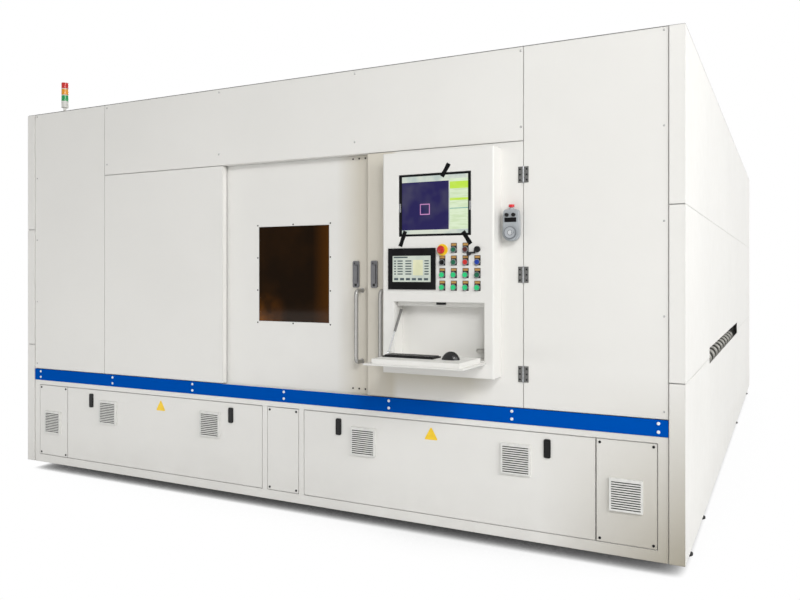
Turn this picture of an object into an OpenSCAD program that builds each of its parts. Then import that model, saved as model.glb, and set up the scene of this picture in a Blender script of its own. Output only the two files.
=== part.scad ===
// Laser etching machine: a walk-in sheet-metal enclosure over a wheeled glass conveyor.
// A sliding door, a hinged door with the operator console, and a gantry with a scan head inside.
// X runs along the front, Y runs from the front to the back, Z is up. Sizes are in millimetres.

/* [Body] */
// width of the enclosure
body_w = 4330; // [3800:10:5000]
// depth of the enclosure
body_d = 6250; // [5600:10:7000]
// height of the enclosure above its feet
body_h = 2400; // [2200:10:2700]
// height of the levelling feet
foot_h = 60; // [40:1:100]
// thickness of the sheet metal
sheet = 2; // [1.5:0.1:3]
// depth of the folded front and rear panels
panel_depth = 40; // [32:1:60]
// seam between two panels
seam = 3; // [2:0.5:5]
// side of the square frame tube
tube = 80; // [60:5:100]

/* [Front] */
// width of the corner that the side wall wraps round to the front
corner_w = 70; // [50:1:100]
// how far that corner stands proud of the front
corner_proud = 6; // [4:0.5:10]
// width of the tall panel at each end
end_panel_w = 672; // [560:1:720]
// height of the fascia over the doors
fascia_h = 457; // [400:1:520]
// width of the fixed panel left of the sliding door
fixed_panel_w = 983; // [950:1:1060]
// width of the hinged door
hinged_door_w = 868; // [850:1:900]
// height of the base under the blue strip
base_h = 564; // [540:1:600]
// height of the blue strip
strip_h = 76; // [60:1:100]
// how far the blue strip stands out
strip_t = 3; // [2:0.5:5]

/* [Base covers] */
// height of the sill under the covers
cover_sill = 55; // [40:1:70]
// height of the covers
cover_h = 475; // [450:1:480]
// width of the screwed cover at each end
end_cover_w = 270; // [240:1:280]
// width of the screwed cover in the middle
centre_cover_w = 213; // [180:1:240]
// groove between an end cover and the latched cover beside it
end_cover_gap = 6; // [4:0.5:12]
// space between an end cover and the corner
end_cover_margin = 50; // [40:1:70]
// space between the middle cover and a latched cover
cover_gap = 40; // [30:1:60]
// side of a louvred grille
vent_w = 150; // [120:1:180]
// how far a grille stands out
vent_t = 15; // [10:1:20]
// number of louvre slots in a grille
vent_slots = 12; // [8:1:14]
// height of the vents in the latched covers, from the bottom of the body
vent_z = 392; // [340:1:410]
// height of the vents in the end covers
end_vent_z = 283; // [240:1:320]
// distance of a vent from the middle of its latched cover
vent_offset = 428; // [380:1:460]
// distance of a latch from the middle of its cover
latch_offset = 584; // [550:1:640]
// height of the latches
latch_z = 458; // [440:1:470]

/* [Sliding door] */
// how far the sliding door sits behind the front
slide_setback = 46; // [44:1:66]
// thickness of the sliding door
slide_door_t = 25; // [20:1:30]
// overlap of the sliding door behind its neighbours
slide_overlap = 30; // [20:1:40]
// width of the window
window_w = 485; // [400:1:560]
// height of the window
window_h = 550; // [450:1:620]
// height of the middle of the window from the bottom of the body
window_z = 1295; // [1200:1:1400]
// distance of the window's middle from the fixed panel
window_x = 479; // [440:1:540]

/* [Handles and locks] */
// diameter of the pull handle's tube
handle_d = 22; // [18:1:28]
// length of a pull handle between its feet
handle_len = 386; // [300:1:400]
// how far a pull handle stands off its door
handle_reach = 75; // [55:1:85]
// height of the middle of the pull handles
handle_z = 1012; // [950:1:1060]
// width of a lock
lock_w = 38; // [32:1:44]
// height of a lock
lock_h = 145; // [130:1:160]
// height of the middle of the locks
lock_z = 1293; // [1290:1:1340]

/* [Console] */
// middle of the console from the hinge line
console_in = 417; // [380:1:430]
// width of the console
console_w = 606; // [590:1:640]
// height of the console
console_h = 1125; // [1100:1:1150]
// height of the console's underside from the bottom of the body
console_bottom = 787; // [770:1:800]
// depth of the console
console_depth = 105; // [98:1:125]
// thickness of the console's walls
console_wall = 3; // [2:0.5:4]
// width of the monitor
monitor_w = 395; // [360:1:420]
// height of the monitor
monitor_h = 314; // [290:1:330]
// distance of the monitor's middle from the top of the console
monitor_drop = 271; // [255:1:285]
// width of the touch panel
touch_w = 265; // [240:1:275]
// height of the touch panel
touch_h = 209; // [190:1:220]
// height of the touch panel's middle above the underside of the console
touch_rise = 533; // [515:1:540]
// height of the upper row of buttons above the underside of the console
button_rise = 627; // [618:1:640]
// spacing of the push buttons
button_pitch = 62; // [58:1:64]
// diameter of a push button
button_d = 24; // [20:1:26]
// travel of a push button
button_travel = 3; // [2:0.5:4]
// height of the middle of the hand-held unit from the bottom of the body
pendant_height = 1530; // [1450:1:1600]
// height of the hand-held unit's case
pendant_h = 154; // [140:1:170]

/* [Keyboard tray] */
// width of the recess behind the tray
recess_w = 490; // [480:1:510]
// height of the recess
recess_h = 280; // [278:1:290]
// depth of the recess
recess_d = 100; // [92:1:100]
// reach of the tray in front of its hinge
tray_len = 294; // [290:1:296]
// thickness of the tray's board
tray_t = 8; // [6:1:10]
// depth of the raised pan from front to back
pan_len = 262; // [250:1:264]
// height of the raised pan on the tray
pan_h = 24; // [18:1:28]

/* [Feed path] */
// distance from the front to the feed slot
slot_front = 1161; // [1050:1:1300]
// length of the feed slot
slot_len = 2645; // [2300:1:2900]
// height of the slot's lower edge from the bottom of the body
slot_bottom = 776; // [750:1:790]
// height of the feed slot
slot_h = 92; // [70:1:110]
// height of the side walls' lower seam from the bottom of the body; the slot is cut across it
side_seam = 807; // [800:1:815]
// diameter of a conveyor wheel
wheel_d = 100; // [80:1:110]
// number of conveyor shafts
shaft_count = 12; // [8:1:14]
// number of wheels on a shaft
wheel_count = 12; // [8:1:14]
// length of the machine bed
bed_len = 3000; // [2700:10:3200]
// height of the gantry's rails from the bottom of the body
rail_height = 1060; // [1000:1:1150]

/* [Hidden] */
$fn = 64;
// heights above the floor
z_body = foot_h;
z_top = z_body + body_h;
z_strip = z_body + base_h;
z_sill = z_strip + strip_h;
z_fascia = z_top - fascia_h;
// seams of the side and rear walls
tier_z = [z_body, z_body + side_seam, z_body + (side_seam + body_h) / 2, z_top];
// lines along the front
half_w = body_w / 2;
face_x = half_w - corner_w;
fold_x = face_x + seam / 2;
corner_fold = 20;
hinge_x = face_x - end_panel_w;
fixed_edge = fixed_panel_w - hinge_x;
hinged_edge = hinge_x - hinged_door_w;
// frame
frame_y = panel_depth;
frame_back = body_d - panel_depth;
frame_x = half_w - sheet;
roof_t = 20;
foot_r = 38;
foot_inset = 260;
z_frame = z_top - roof_t;
z_deck = z_sill - 30;
z_header = z_fascia + 87;
weld = 0.2;
lane_y0 = slot_front;
lane_y1 = slot_front + slot_len;
mid_post_1 = lane_y0 - 200;
mid_post_2 = lane_y1 + 200;
// covers
end_cover_x = face_x - end_cover_margin - end_cover_w / 2;
access_x0 = centre_cover_w / 2 + cover_gap;
access_x1 = end_cover_x - end_cover_w / 2 - end_cover_gap;
access_cover_w = access_x1 - access_x0;
access_x = (access_x0 + access_x1) / 2;
cover_depth = panel_depth - 10;
rebate = 14;
latch_w = 33;
latch_h = 90;
latch_t = 7;
// sliding door
slide_x0 = fixed_edge - slide_overlap;
slide_x1 = hinged_edge + slide_overlap;
slide_z0 = z_sill - 10;
slide_z1 = z_fascia + 42;
slide_y = slide_setback;
slide_mid = slide_y + slide_door_t / 2;
window_cx = fixed_edge + window_x;
pane_lap = 20;
pane_t = 5;
// locks and handles
handle_r = handle_d / 2;
bend_r = 2 * handle_r;
slide_lock_x = hinged_edge - 96;
slide_handle_x = hinged_edge - 60;
hinged_lock_x = hinged_edge + 43;
hinged_handle_x = hinged_edge + 113;
lock_t = 9;
lever_w = lock_w - 16;
lever_h = lock_h - 34;
lever_pivot = lock_h / 2 - 22;
// console
console_x = hinge_x - console_in;
console_y = -console_depth;
console_x0 = console_x - console_w / 2;
console_x1 = console_x + console_w / 2;
console_z0 = z_body + console_bottom;
console_z1 = console_z0 + console_h;
console_round = 8;
monitor_x = console_x - 12;
monitor_z = console_z1 - monitor_drop;
monitor_bezel = 16;
touch_x = console_x0 + 168;
touch_z = console_z0 + touch_rise;
touch_t = 7;
button_x = console_x + 34;
button_z = console_z0 + button_rise;
plate_w = button_d + 7;
plate_t = 2;
bezel_h = 9;
bezel_d = button_d + 6;
// tray
recess_x = console_x + 9;
recess_z = console_z0 + 86;
lip_y = console_y + 33;
lip_h = 22;
catch_w = 50;
catch_h = 12;
catch_t = 8;
hole_w = 60;
hole_h = 20;
hole_in = 48;
hole_up = 37;
tray_w = recess_w + 25;
tray_y = console_y - 6;
tray_z = recess_z - 11;
knuckle_r = 5;
pan_back = 20;
pan_left = 40;
pan_right = 22;
pan_x0 = recess_x - tray_w / 2 + pan_left;
pan_x1 = recess_x + tray_w / 2 - pan_right;
pan_z = tray_z + tray_t / 2 + pan_h;
pan_y0 = tray_y - pan_back - pan_len;
pan_y1 = tray_y - pan_back;
strut_x = recess_x - recess_w / 2 + 13;
strut_low = [tray_y - 80, tray_z + 38];
strut_top = [tray_y + 60, tray_z + 245];
strut_dy = strut_low[0] - strut_top[0];
strut_dz = strut_low[1] - strut_top[1];
strut_len = sqrt(strut_dy * strut_dy + strut_dz * strut_dz);
strut_tilt = atan2(-strut_dy, -strut_dz);
tube_len = 126;
eye_r = 6.5;
stud_r = 3;
run = 0.3;
reach = console_depth + 6 + tray_len;
// pendant
pendant_x = hinge_x - 51;
pendant_z = z_body + pendant_height;
pendant_w = 74;
pendant_t = 36;
pad_t = 10;
// beacon
beacon_x = 202 - face_x;
beacon_y = 78;
beacon_r = 23;
lamp_h = 38;
lamp_pitch = 44;
lamp_z = z_top + 91;
// conveyor and gantry
slot_z = z_body + slot_bottom;
wheel_top = slot_z + 20;
shaft_z = wheel_top - wheel_d / 2;
shaft_r = 16;
shaft_x = half_w - 80;
shaft_pitch = 2 * shaft_x / (shaft_count - 1);
wheel_w = 26;
wheel_pitch = (slot_len - 120) / (wheel_count - 1);
lane_mid = (lane_y0 + lane_y1) / 2;
beam_w = 60;
beam_y0 = lane_y0 - 30 - beam_w;
beam_y1 = lane_y1 + 30;
beam_z0 = shaft_z - 70;
beam_z1 = shaft_z - shaft_r - 14;
bed_x = bed_len / 2;
bed_wall_w = 120;
bed_y0 = beam_y0 - 40 - bed_wall_w;
bed_y1 = beam_y1 + beam_w + 40;
rail_z = z_body + rail_height;
rail_h = 30;
rail_w = 34;
gantry_w = 300;
gantry_h = 260;
gantry_z = rail_z + 150;
carriage_w = 260;
carriage_y = lane_mid;
head_w = 160;
head_h = 420;
head_z = wheel_top + 304;
// front plane of the enclosure when the whole machine is centred on the origin
front_y = reach - (body_d + reach) / 2;

c_white = [0.86, 0.86, 0.84];
c_pale = [0.80, 0.80, 0.78];
c_blue = [0.0, 0.30, 0.66];
c_black = [0.03, 0.03, 0.03];
c_steel = [0.72, 0.73, 0.74];
c_dark = [0.16, 0.16, 0.17];
c_green = [0.10, 0.85, 0.35];
c_deep_green = [0.02, 0.25, 0.14];
c_red = [0.75, 0.04, 0.04];
c_deep_red = [0.30, 0.06, 0.05];
c_amber = [0.95, 0.65, 0.08];
c_lens_blue = [0.05, 0.18, 0.70];

// a block between two corners
module block(x0, x1, y0, y1, z0, z1) {
    translate([x0, y0, z0])
        cube([x1 - x0, y1 - y0, z1 - z0]);
}

// a folded sheet, open at the back
module pan(x0, x1, z0, z1, depth) {
    difference() {
        block(x0, x1, 0, depth, z0, z1);
        block(x0 + sheet, x1 - sheet, sheet, depth + 1, z0 + sheet, z1 - sheet);
    }
}

// a round bar along Y that starts at y0
module bar_y(x, z, y0, y1, r) {
    translate([x, y1, z])
        rotate([90, 0, 0])
            cylinder(r = r, h = y1 - y0);
}

// a round bar along X that starts at x0
module bar_x(y, z, x0, x1, r) {
    translate([x0, y, z])
        rotate([0, 90, 0])
            cylinder(r = r, h = x1 - x0);
}

// a plate with round corners, upright, facing the front
module round_plate(x, z, w, h, r, y0, y1) {
    translate([x, y1, z])
        rotate([90, 0, 0])
            linear_extrude(height = y1 - y0) {
                square([w - 2 * r, h], center = true);
                square([w, h - 2 * r], center = true);
                for (sx = [-1, 1], sz = [-1, 1])
                    translate([sx * (w / 2 - r), sz * (h / 2 - r)])
                        circle(r = r);
            }
}

// where the uprights of the frame stand
post_xs = [-frame_x + tube / 2, -hinge_x, hinge_x, frame_x - tube / 2];
post_ys = [frame_y + tube / 2, mid_post_1, mid_post_2, frame_back - tube / 2];

// runs its children once at the foot of each upright
module at_posts() {
    for (x = post_xs, y = [post_ys[0], post_ys[3]])
        translate([x, y, 0])
            children();
    for (x = [post_xs[0], post_xs[3]], y = [post_ys[1], post_ys[2]])
        translate([x, y, 0])
            children();
}

// one levelling foot
module foot() {
    rotate_extrude()
        polygon([
            [0, 0], [foot_r, 0], [foot_r, 8], [20, 18], [20, 26], [12, 26], [12, foot_h], [0, foot_h]
        ]);
}

// feet under the side rails, set in from the corners, and under the lower cross rails
module levelling_feet() {
    foot_ys = [post_ys[0] + foot_inset, post_ys[1], post_ys[2], post_ys[3] - foot_inset];
    color(c_dark) {
        for (x = [post_xs[0], post_xs[3]], y = foot_ys)
            translate([x, y, 0])
                foot();
        for (x = [post_xs[1], post_xs[2]], y = [post_ys[1], post_ys[2]])
            translate([x, y, 0])
                foot();
    }
}

// a tube between two uprights along X
module rail_x(i, y, z) {
    x0 = post_xs[i] + tube / 2 + weld;
    x1 = post_xs[i + 1] - tube / 2 - weld;
    block(x0, x1, y - tube / 2, y + tube / 2, z, z + tube);
}

// a tube between two uprights along Y
module rail_y(x, i, z) {
    y0 = post_ys[i] + tube / 2 + weld;
    y1 = post_ys[i + 1] - tube / 2 - weld;
    block(x - tube / 2, x + tube / 2, y0, y1, z, z + tube);
}

// a tube right across the frame, between the side uprights
module cross_rail(y, z) {
    half = post_xs[3] - tube / 2 - weld;
    block(-half, half, y - tube / 2, y + tube / 2, z, z + tube);
}

module frame() {
    color(c_pale) {
        at_posts()
            block(-tube / 2, tube / 2, -tube / 2, tube / 2, z_body, z_frame);
        for (z = [z_body, z_deck - tube, z_frame - tube], i = [0:2]) {
            rail_x(i, post_ys[0], z);
            rail_x(i, post_ys[3], z);
            rail_y(post_xs[0], i, z);
            rail_y(post_xs[3], i, z);
        }
        rail_x(1, post_ys[0], z_header);
        for (y = [post_ys[1], post_ys[2]], z = [z_body, z_deck - tube, z_frame - tube])
            cross_rail(y, z);
    }
}

// one roof sheet from y0 to y1, folded down all round
module roof_sheet(y0, y1) {
    x = frame_x - run;
    difference() {
        block(-x, x, y0, y1, z_frame, z_top);
        block(-x + sheet, x - sheet, y0 + sheet, y1 - sheet, z_frame - 1, z_top - sheet);
    }
}

// the tabs of a roof sheet that close the two corners in front of it
module roof_tabs(y0, y1) {
    for (s = [0, 1])
        mirror([s, 0, 0])
            block(fold_x + sheet + run, frame_x - run, y0, y1, z_top - sheet, z_top);
}

module roof_and_rear_panels() {
    roof_y = [frame_y + run, post_ys[1], post_ys[2], frame_back - run];
    color(c_white) {
        roof_sheet(roof_y[0], roof_y[1] - seam / 2);
        roof_tabs(sheet + run - corner_proud, roof_y[0] + sheet);
        roof_sheet(roof_y[1] + seam / 2, roof_y[2] - seam / 2);
        roof_sheet(roof_y[2] + seam / 2, roof_y[3]);
        roof_tabs(roof_y[3] - sheet, body_d - sheet - run);
        for (i = [0:2])
            translate([0, body_d, 0])
                mirror([0, 1, 0])
                    pan(-face_x + seam / 2, face_x - seam / 2, tier_z[i] + seam / 2, tier_z[i + 1] - seam / 2,
                        panel_depth);
    }
}

// one sheet of a side wall, wrapped round the rear corner and folded back at the front one
module side_sheet(i) {
    translate([0, 0, tier_z[i] + seam / 2])
        linear_extrude(height = tier_z[i + 1] - tier_z[i] - seam)
            polygon([
                [fold_x, -corner_proud], [half_w, -corner_proud], [half_w, body_d], [fold_x, body_d],
                [fold_x, body_d - sheet], [frame_x, body_d - sheet], [frame_x, sheet - corner_proud],
                [fold_x + sheet, sheet - corner_proud], [fold_x + sheet, corner_fold], [fold_x, corner_fold]
            ]);
}

// a sheet welded from three lengths, the middle one cut short for the feed slot
module slotted_sheet(i) {
    difference() {
        side_sheet(i);
        block(half_w - 10, half_w + 10, lane_y0, lane_y1, slot_z, slot_z + slot_h);
        for (y = [lane_y0, lane_y1])
            block(half_w - 10, half_w + 10, y - weld / 2, y + weld / 2, tier_z[i], tier_z[i + 1]);
    }
}

module side_panels() {
    color(c_white)
        for (s = [0, 1])
            mirror([s, 0, 0]) {
                slotted_sheet(0);
                slotted_sheet(1);
                side_sheet(2);
            }
}

// fascia over the doors, tall panel at each end, fixed panel left of the sliding door
module front_panels() {
    color(c_white) {
        pan(-hinge_x + seam / 2, hinge_x - seam / 2, z_fascia, z_top, panel_depth);
        for (s = [0, 1])
            mirror([s, 0, 0])
                pan(hinge_x + seam / 2, face_x - seam / 2, z_sill + seam, z_top, panel_depth);
        pan(-hinge_x + seam / 2, fixed_edge, z_sill + seam, z_fascia - seam, panel_depth);
    }
}

module accent_strip() {
    color(c_blue)
        block(-face_x + seam / 2, face_x - seam / 2, -strip_t, 0, z_strip, z_sill);
}

// the opening of one base cover, with the rebate that the cover lands on
module cover_opening(x, w) {
    z0 = z_body + cover_sill;
    block(x - w / 2 - seam, x + w / 2 + seam, -1, cover_depth, z0 - seam, z0 + cover_h + seam);
    block(x - w / 2 + rebate, x + w / 2 - rebate, 0, panel_depth + 1, z0 + rebate, z0 + cover_h - rebate);
}

// the groove between an end cover and a latched cover, which land on one upright
module cover_groove() {
    z0 = z_body + cover_sill;
    block(access_x1 - 1, access_x1 + end_cover_gap + 1, -1, cover_depth, z0 - seam, z0 + cover_h + seam);
}

module base_front_frame() {
    color(c_white)
        difference() {
            block(-face_x + seam / 2, face_x - seam / 2, 0, panel_depth, z_body, z_sill - seam);
            cover_opening(0, centre_cover_w);
            for (s = [0, 1])
                mirror([s, 0, 0]) {
                    cover_opening(access_x, access_cover_w);
                    cover_opening(end_cover_x, end_cover_w);
                    cover_groove();
                }
        }
}

// a base cover: a folded sheet in its opening
module base_cover(x, w) {
    pan(x - w / 2, x + w / 2, z_body + cover_sill, z_body + cover_sill + cover_h, cover_depth);
}

// the hole behind a grille
module vent_hole(x, z) {
    half = vent_w / 2 - 12;
    block(x - half, x + half, -1, sheet + 1, z_body + z - half, z_body + z + half);
}

// three screwed covers and two latched ones
module base_covers() {
    color(c_white) {
        base_cover(0, centre_cover_w);
        for (s = [-1, 1]) {
            difference() {
                base_cover(s * end_cover_x, end_cover_w);
                vent_hole(s * end_cover_x, end_vent_z);
            }
            difference() {
                base_cover(s * access_x, access_cover_w);
                for (t = [-1, 1])
                    vent_hole(s * access_x + t * vent_offset, vent_z);
            }
        }
    }
}

// one louvred grille, cut with slots that slope down to the outside
module grille(x, z) {
    rim = 9;
    slot_pitch = (vent_w - 2 * rim) / vent_slots;
    difference() {
        block(x - vent_w / 2, x + vent_w / 2, -vent_t, 0, z_body + z - vent_w / 2, z_body + z + vent_w / 2);
        for (i = [0:vent_slots - 1])
            translate([x, -vent_t / 2, z_body + z - vent_w / 2 + rim + (i + 0.5) * slot_pitch])
                rotate([20, 0, 0])
                    cube([vent_w - 2 * rim, 3 * vent_t, slot_pitch * 0.42], center = true);
    }
}

module louvre_grilles() {
    color(c_white)
        for (s = [-1, 1]) {
            grille(s * end_cover_x, end_vent_z);
            for (t = [-1, 1])
                grille(s * access_x + t * vent_offset, vent_z);
        }
}

module cover_latches() {
    rim = 4;
    cap_end = 12;
    groove = 2;
    color(c_black)
        for (s = [-1, 1], t = [-1, 1])
            translate([s * access_x + t * latch_offset, 0, z_body + latch_z])
                difference() {
                    round_plate(0, 0, latch_w, latch_h, 8, -latch_t, 0);
                    difference() {
                        round_plate(0, 0, latch_w - 2 * rim, latch_h - 2 * cap_end, 4, -latch_t - 1,
                            groove - latch_t);
                        round_plate(0, 0, latch_w - 2 * rim - 2 * groove,
                            latch_h - 2 * cap_end - 2 * groove, 2.5, -latch_t - 2, groove - latch_t + 1);
                    }
                }
}

// one drum of the beacon
module drum(z, h, r) {
    translate([beacon_x, beacon_y, z])
        cylinder(r = r, h = h);
}

module beacon_base() {
    color(c_pale) {
        drum(z_top, 8, beacon_r + 4);
        drum(z_top, lamp_z - lamp_pitch - z_top, 10);
        drum(lamp_z - lamp_pitch, lamp_pitch, beacon_r);
    }
}

// one lamp with the pale ring over it
module lamp(i) {
    drum(lamp_z + i * lamp_pitch, lamp_h, beacon_r);
    drum(lamp_z + i * lamp_pitch, lamp_pitch, beacon_r - 3);
}

module beacon_green() {
    color(c_green)
        lamp(0);
}

module beacon_amber() {
    color(c_amber)
        lamp(1);
}

module beacon_red() {
    color(c_red)
        drum(lamp_z + 2 * lamp_pitch, lamp_h, beacon_r);
}

// the hung rail of the sliding door, and the channel that guides its foot
track_x0 = -hinge_x + tube / 2 + 4;
track_x1 = slide_x1 + 20;
track_flange = 15;
track_web = 5;
channel_w = slide_door_t + 8;
z_flange = z_header - 15;

// a length of the track, as deep as d, about the middle of the door
module track_bar(x0, x1, d, z0, z1) {
    block(x0, x1, slide_mid - d / 2, slide_mid + d / 2, z0, z1);
}

module door_track() {
    color(c_steel) {
        track_bar(track_x0, track_x1, track_web, z_flange, z_header);
        track_bar(track_x0, track_x1, track_flange, z_flange - 12, z_flange);
        difference() {
            track_bar(track_x0, track_x1, channel_w, z_deck, z_sill - 4);
            track_bar(track_x0 - 1, track_x1 + 1, channel_w - 6, z_deck + 3, z_sill);
        }
    }
}

// the two hangers that carry the sliding door on its rail
module door_hangers() {
    hanger_w = 120;
    for (x = [slide_x0 + 160, slide_x1 - 160])
        difference() {
            track_bar(x - hanger_w / 2, x + hanger_w / 2, 24, slide_z1, z_header - 8);
            track_bar(x - hanger_w, x + hanger_w, track_flange + 2, z_flange - 13, z_flange + run);
            track_bar(x - hanger_w, x + hanger_w, track_web + 2, z_flange - 2, z_header);
        }
}

module sliding_door() {
    color(c_white) {
        difference() {
            translate([0, slide_y, 0])
                pan(slide_x0, slide_x1, slide_z0, slide_z1, slide_door_t);
            block(window_cx - window_w / 2, window_cx + window_w / 2, slide_y - 1, slide_y + sheet + 1,
                z_body + window_z - window_h / 2, z_body + window_z + window_h / 2);
        }
        door_hangers();
    }
}

module window_pane() {
    color([0.16, 0.08, 0.01])
        block(window_cx - window_w / 2 - pane_lap, window_cx + window_w / 2 + pane_lap, slide_y + sheet,
            slide_y + sheet + pane_t, z_body + window_z - window_h / 2 - pane_lap,
            z_body + window_z + window_h / 2 + pane_lap);
}

// a bent tube with two round feet, standing on a door face at y
module pull_handle(x, y) {
    z0 = z_body + handle_z - handle_len / 2;
    straight = handle_len - 2 * bend_r;
    for (s = [-1, 1]) {
        bar_y(x, z_body + handle_z + s * handle_len / 2, y - handle_reach + handle_r + bend_r, y, handle_r);
        bar_y(x, z_body + handle_z + s * handle_len / 2, y - 4, y, handle_r + 3);
    }
    translate([x, y - handle_reach + handle_r, z0 + bend_r])
        cylinder(r = handle_r, h = straight);
    for (s = [0, 1])
        translate([x, y - handle_reach + handle_r + bend_r, z_body + handle_z])
            mirror([0, 0, s])
                translate([0, 0, straight / 2])
                    rotate([90, 0, -90])
                        rotate_extrude(angle = 90)
                            translate([bend_r, 0])
                                circle(r = handle_r);
}

module sliding_door_handle() {
    color(c_steel)
        pull_handle(slide_handle_x, slide_y);
}

module hinged_door_handle() {
    color(c_steel)
        pull_handle(hinged_handle_x, 0);
}

// a lock plate with a pocket for its lever, and a key barrel under the lever
module lock_plate(x, y) {
    z = z_body + lock_z;
    difference() {
        round_plate(x, z, lock_w, lock_h, 8, y - lock_t, y);
        translate([x, y, z + lock_h / 2])
            block(-lever_w / 2 - run, lever_w / 2 + run, -lock_t - 1, -3, -lever_h - 13, -9);
    }
    bar_y(x, z - lock_h / 2 + 14, y - lock_t - 2, y - 1, 7);
}

// the lever of a lock, hung from its upper end
module lock_lever(x, y) {
    z = z_body + lock_z + lock_h / 2;
    block(x - lever_w / 2, x + lever_w / 2, y - lock_t - 6, y - lock_t + 4, z - 11 - lever_h, z - 26);
    block(x - lever_w / 2, x + lever_w / 2, y - lock_t - 2, y - lock_t + 2, z - 26, z - 22);
    bar_x(y - lock_t + 0.5, z - 22, x - lever_w / 2, x + lever_w / 2, 4.5);
}

module sliding_door_lock() {
    color(c_steel)
        lock_plate(slide_lock_x, slide_y);
}

module sliding_lock_lever() {
    color(c_steel)
        lock_lever(slide_lock_x, slide_y);
}

module hinged_door_lock() {
    color(c_steel)
        lock_plate(hinged_lock_x, 0);
}

module hinged_lock_lever() {
    color(c_steel)
        lock_lever(hinged_lock_x, 0);
}

// the hinged door's hinges
leaf_w = 26;
leaf_h = 78;
leaf_t = 3;
barrel_r = 4;
pin_r = 2;
hinge_y = -barrel_r - 0.5;
hinge_zs = [z_sill + 167, (z_sill + z_fascia) / 2 - 1, z_fascia - 166];

// one segment of a hinge's barrel
module knuckle(z0, z1) {
    difference() {
        union() {
            translate([hinge_x, hinge_y, z0])
                cylinder(r = barrel_r, h = z1 - z0);
            block(hinge_x, hinge_x + leaf_w, -leaf_t, 0, z0, z1);
        }
        translate([hinge_x, hinge_y, z0 - 1])
            cylinder(r = pin_r + 0.05, h = z1 - z0 + 2);
    }
}

module hinge_frame_leaves() {
    third = leaf_h / 3;
    color(c_steel)
        for (z = hinge_zs) {
            for (s = [-1, 1])
                knuckle(z + s * third - third / 2, z + s * third + third / 2);
            block(hinge_x + barrel_r + 1, hinge_x + leaf_w, -leaf_t, 0, z - leaf_h / 2, z + leaf_h / 2);
            translate([hinge_x, hinge_y, z - leaf_h / 2 - 2])
                cylinder(r = pin_r, h = leaf_h + 4);
        }
}

module hinge_door_leaves() {
    third = leaf_h / 3;
    color(c_steel)
        for (z = hinge_zs) {
            translate([2 * hinge_x, 0, 0])
                mirror([1, 0, 0])
                    knuckle(z - third / 2 + run, z + third / 2 - run);
            block(hinge_x - leaf_w, hinge_x - barrel_r - 1, -leaf_t, 0, z - leaf_h / 2, z + leaf_h / 2);
        }
}

module hinged_door() {
    color(c_white)
        pan(hinged_edge, hinge_x - seam / 2, z_sill + seam, z_fascia - seam, panel_depth - 1);
}

// outline of the console in plan, with rounded front corners
module console_plan() {
    translate([console_x0, console_y + console_round])
        square([console_w, console_depth - console_round]);
    translate([console_x0 + console_round, console_y])
        square([console_w - 2 * console_round, console_depth]);
    for (x = [console_x0 + console_round, console_x1 - console_round])
        translate([x, console_y + console_round])
            circle(r = console_round);
}

module console_housing() {
    inside_y = console_y + console_wall;
    recess_back = console_y + recess_d;
    recess_x0 = recess_x - recess_w / 2;
    recess_x1 = recess_x + recess_w / 2;
    recess_z1 = recess_z + recess_h;
    color(c_white) {
        difference() {
            translate([0, 0, console_z0])
                linear_extrude(height = console_h)
                    console_plan();
            block(console_x0 + console_wall, console_x1 - console_wall, inside_y + console_round, 1,
                console_z0 + console_wall, console_z1 - console_wall);
            block(monitor_x - monitor_w / 2, monitor_x + monitor_w / 2, console_y - 1, 0,
                monitor_z - monitor_h / 2, monitor_z + monitor_h / 2);
            block(recess_x0, recess_x1, console_y - 1, 0, recess_z, recess_z1);
        }
        difference() {
            block(recess_x0 - console_wall, recess_x1 + console_wall, inside_y, recess_back,
                recess_z - console_wall, recess_z1 + console_wall);
            block(recess_x0, recess_x1, console_y, recess_back - console_wall, recess_z, recess_z1);
            round_plate(recess_x1 - hole_in, recess_z + hole_up, hole_w, hole_h, hole_h / 2 - 0.5,
                recess_back - console_wall - 1, recess_back + 1);
        }
        block(recess_x0 - 1, recess_x1 + 1, lip_y, lip_y + console_wall, recess_z1 - lip_h, recess_z1 + 1);
        round_plate(recess_x + 5, recess_z1 - catch_h / 2 - 1, catch_w, catch_h, 3,
            lip_y - catch_t, lip_y + 1);
        bar_x(strut_top[0], strut_top[1], recess_x0 - 1, strut_x + 6, stud_r);
        for (s = [-1, 1])
            tray_bracket(s);
    }
}

// a fixed knuckle of the tray's hinge
knuckle_in = 200;
knuckle_out = 236;
module tray_bracket(s) {
    x0 = recess_x + (s < 0 ? -knuckle_out : knuckle_in + run);
    x1 = recess_x + (s < 0 ? -knuckle_in - run : knuckle_out);
    block(x0, x1, tray_y, console_y, tray_z - 22, tray_z);
    bar_x(tray_y, tray_z, x0, x1, knuckle_r);
}

// a length of the tray's board, from y0 to y1
module tray_board(half, y0, y1) {
    block(recess_x - half, recess_x + half, y0, y1, tray_z - tray_t / 2, tray_z + tray_t / 2);
}

module keyboard_tray() {
    color(c_white) {
        tray_board(tray_w / 2, tray_y - tray_len, tray_y - knuckle_r - 1);
        tray_board(knuckle_in, tray_y - knuckle_r - 2, tray_y);
        bar_x(tray_y, tray_z, recess_x - knuckle_in, recess_x + knuckle_in, knuckle_r);
        block(pan_x0, pan_x1, pan_y0, pan_y1, tray_z, pan_z);
        block(pan_x0, pan_x0 + 4, strut_low[0] - 12, strut_low[0] + 12, tray_z, strut_low[1] + 8);
        bar_x(strut_low[0], strut_low[1], strut_x - 6, pan_x0 + 1, stud_r);
    }
}

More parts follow.
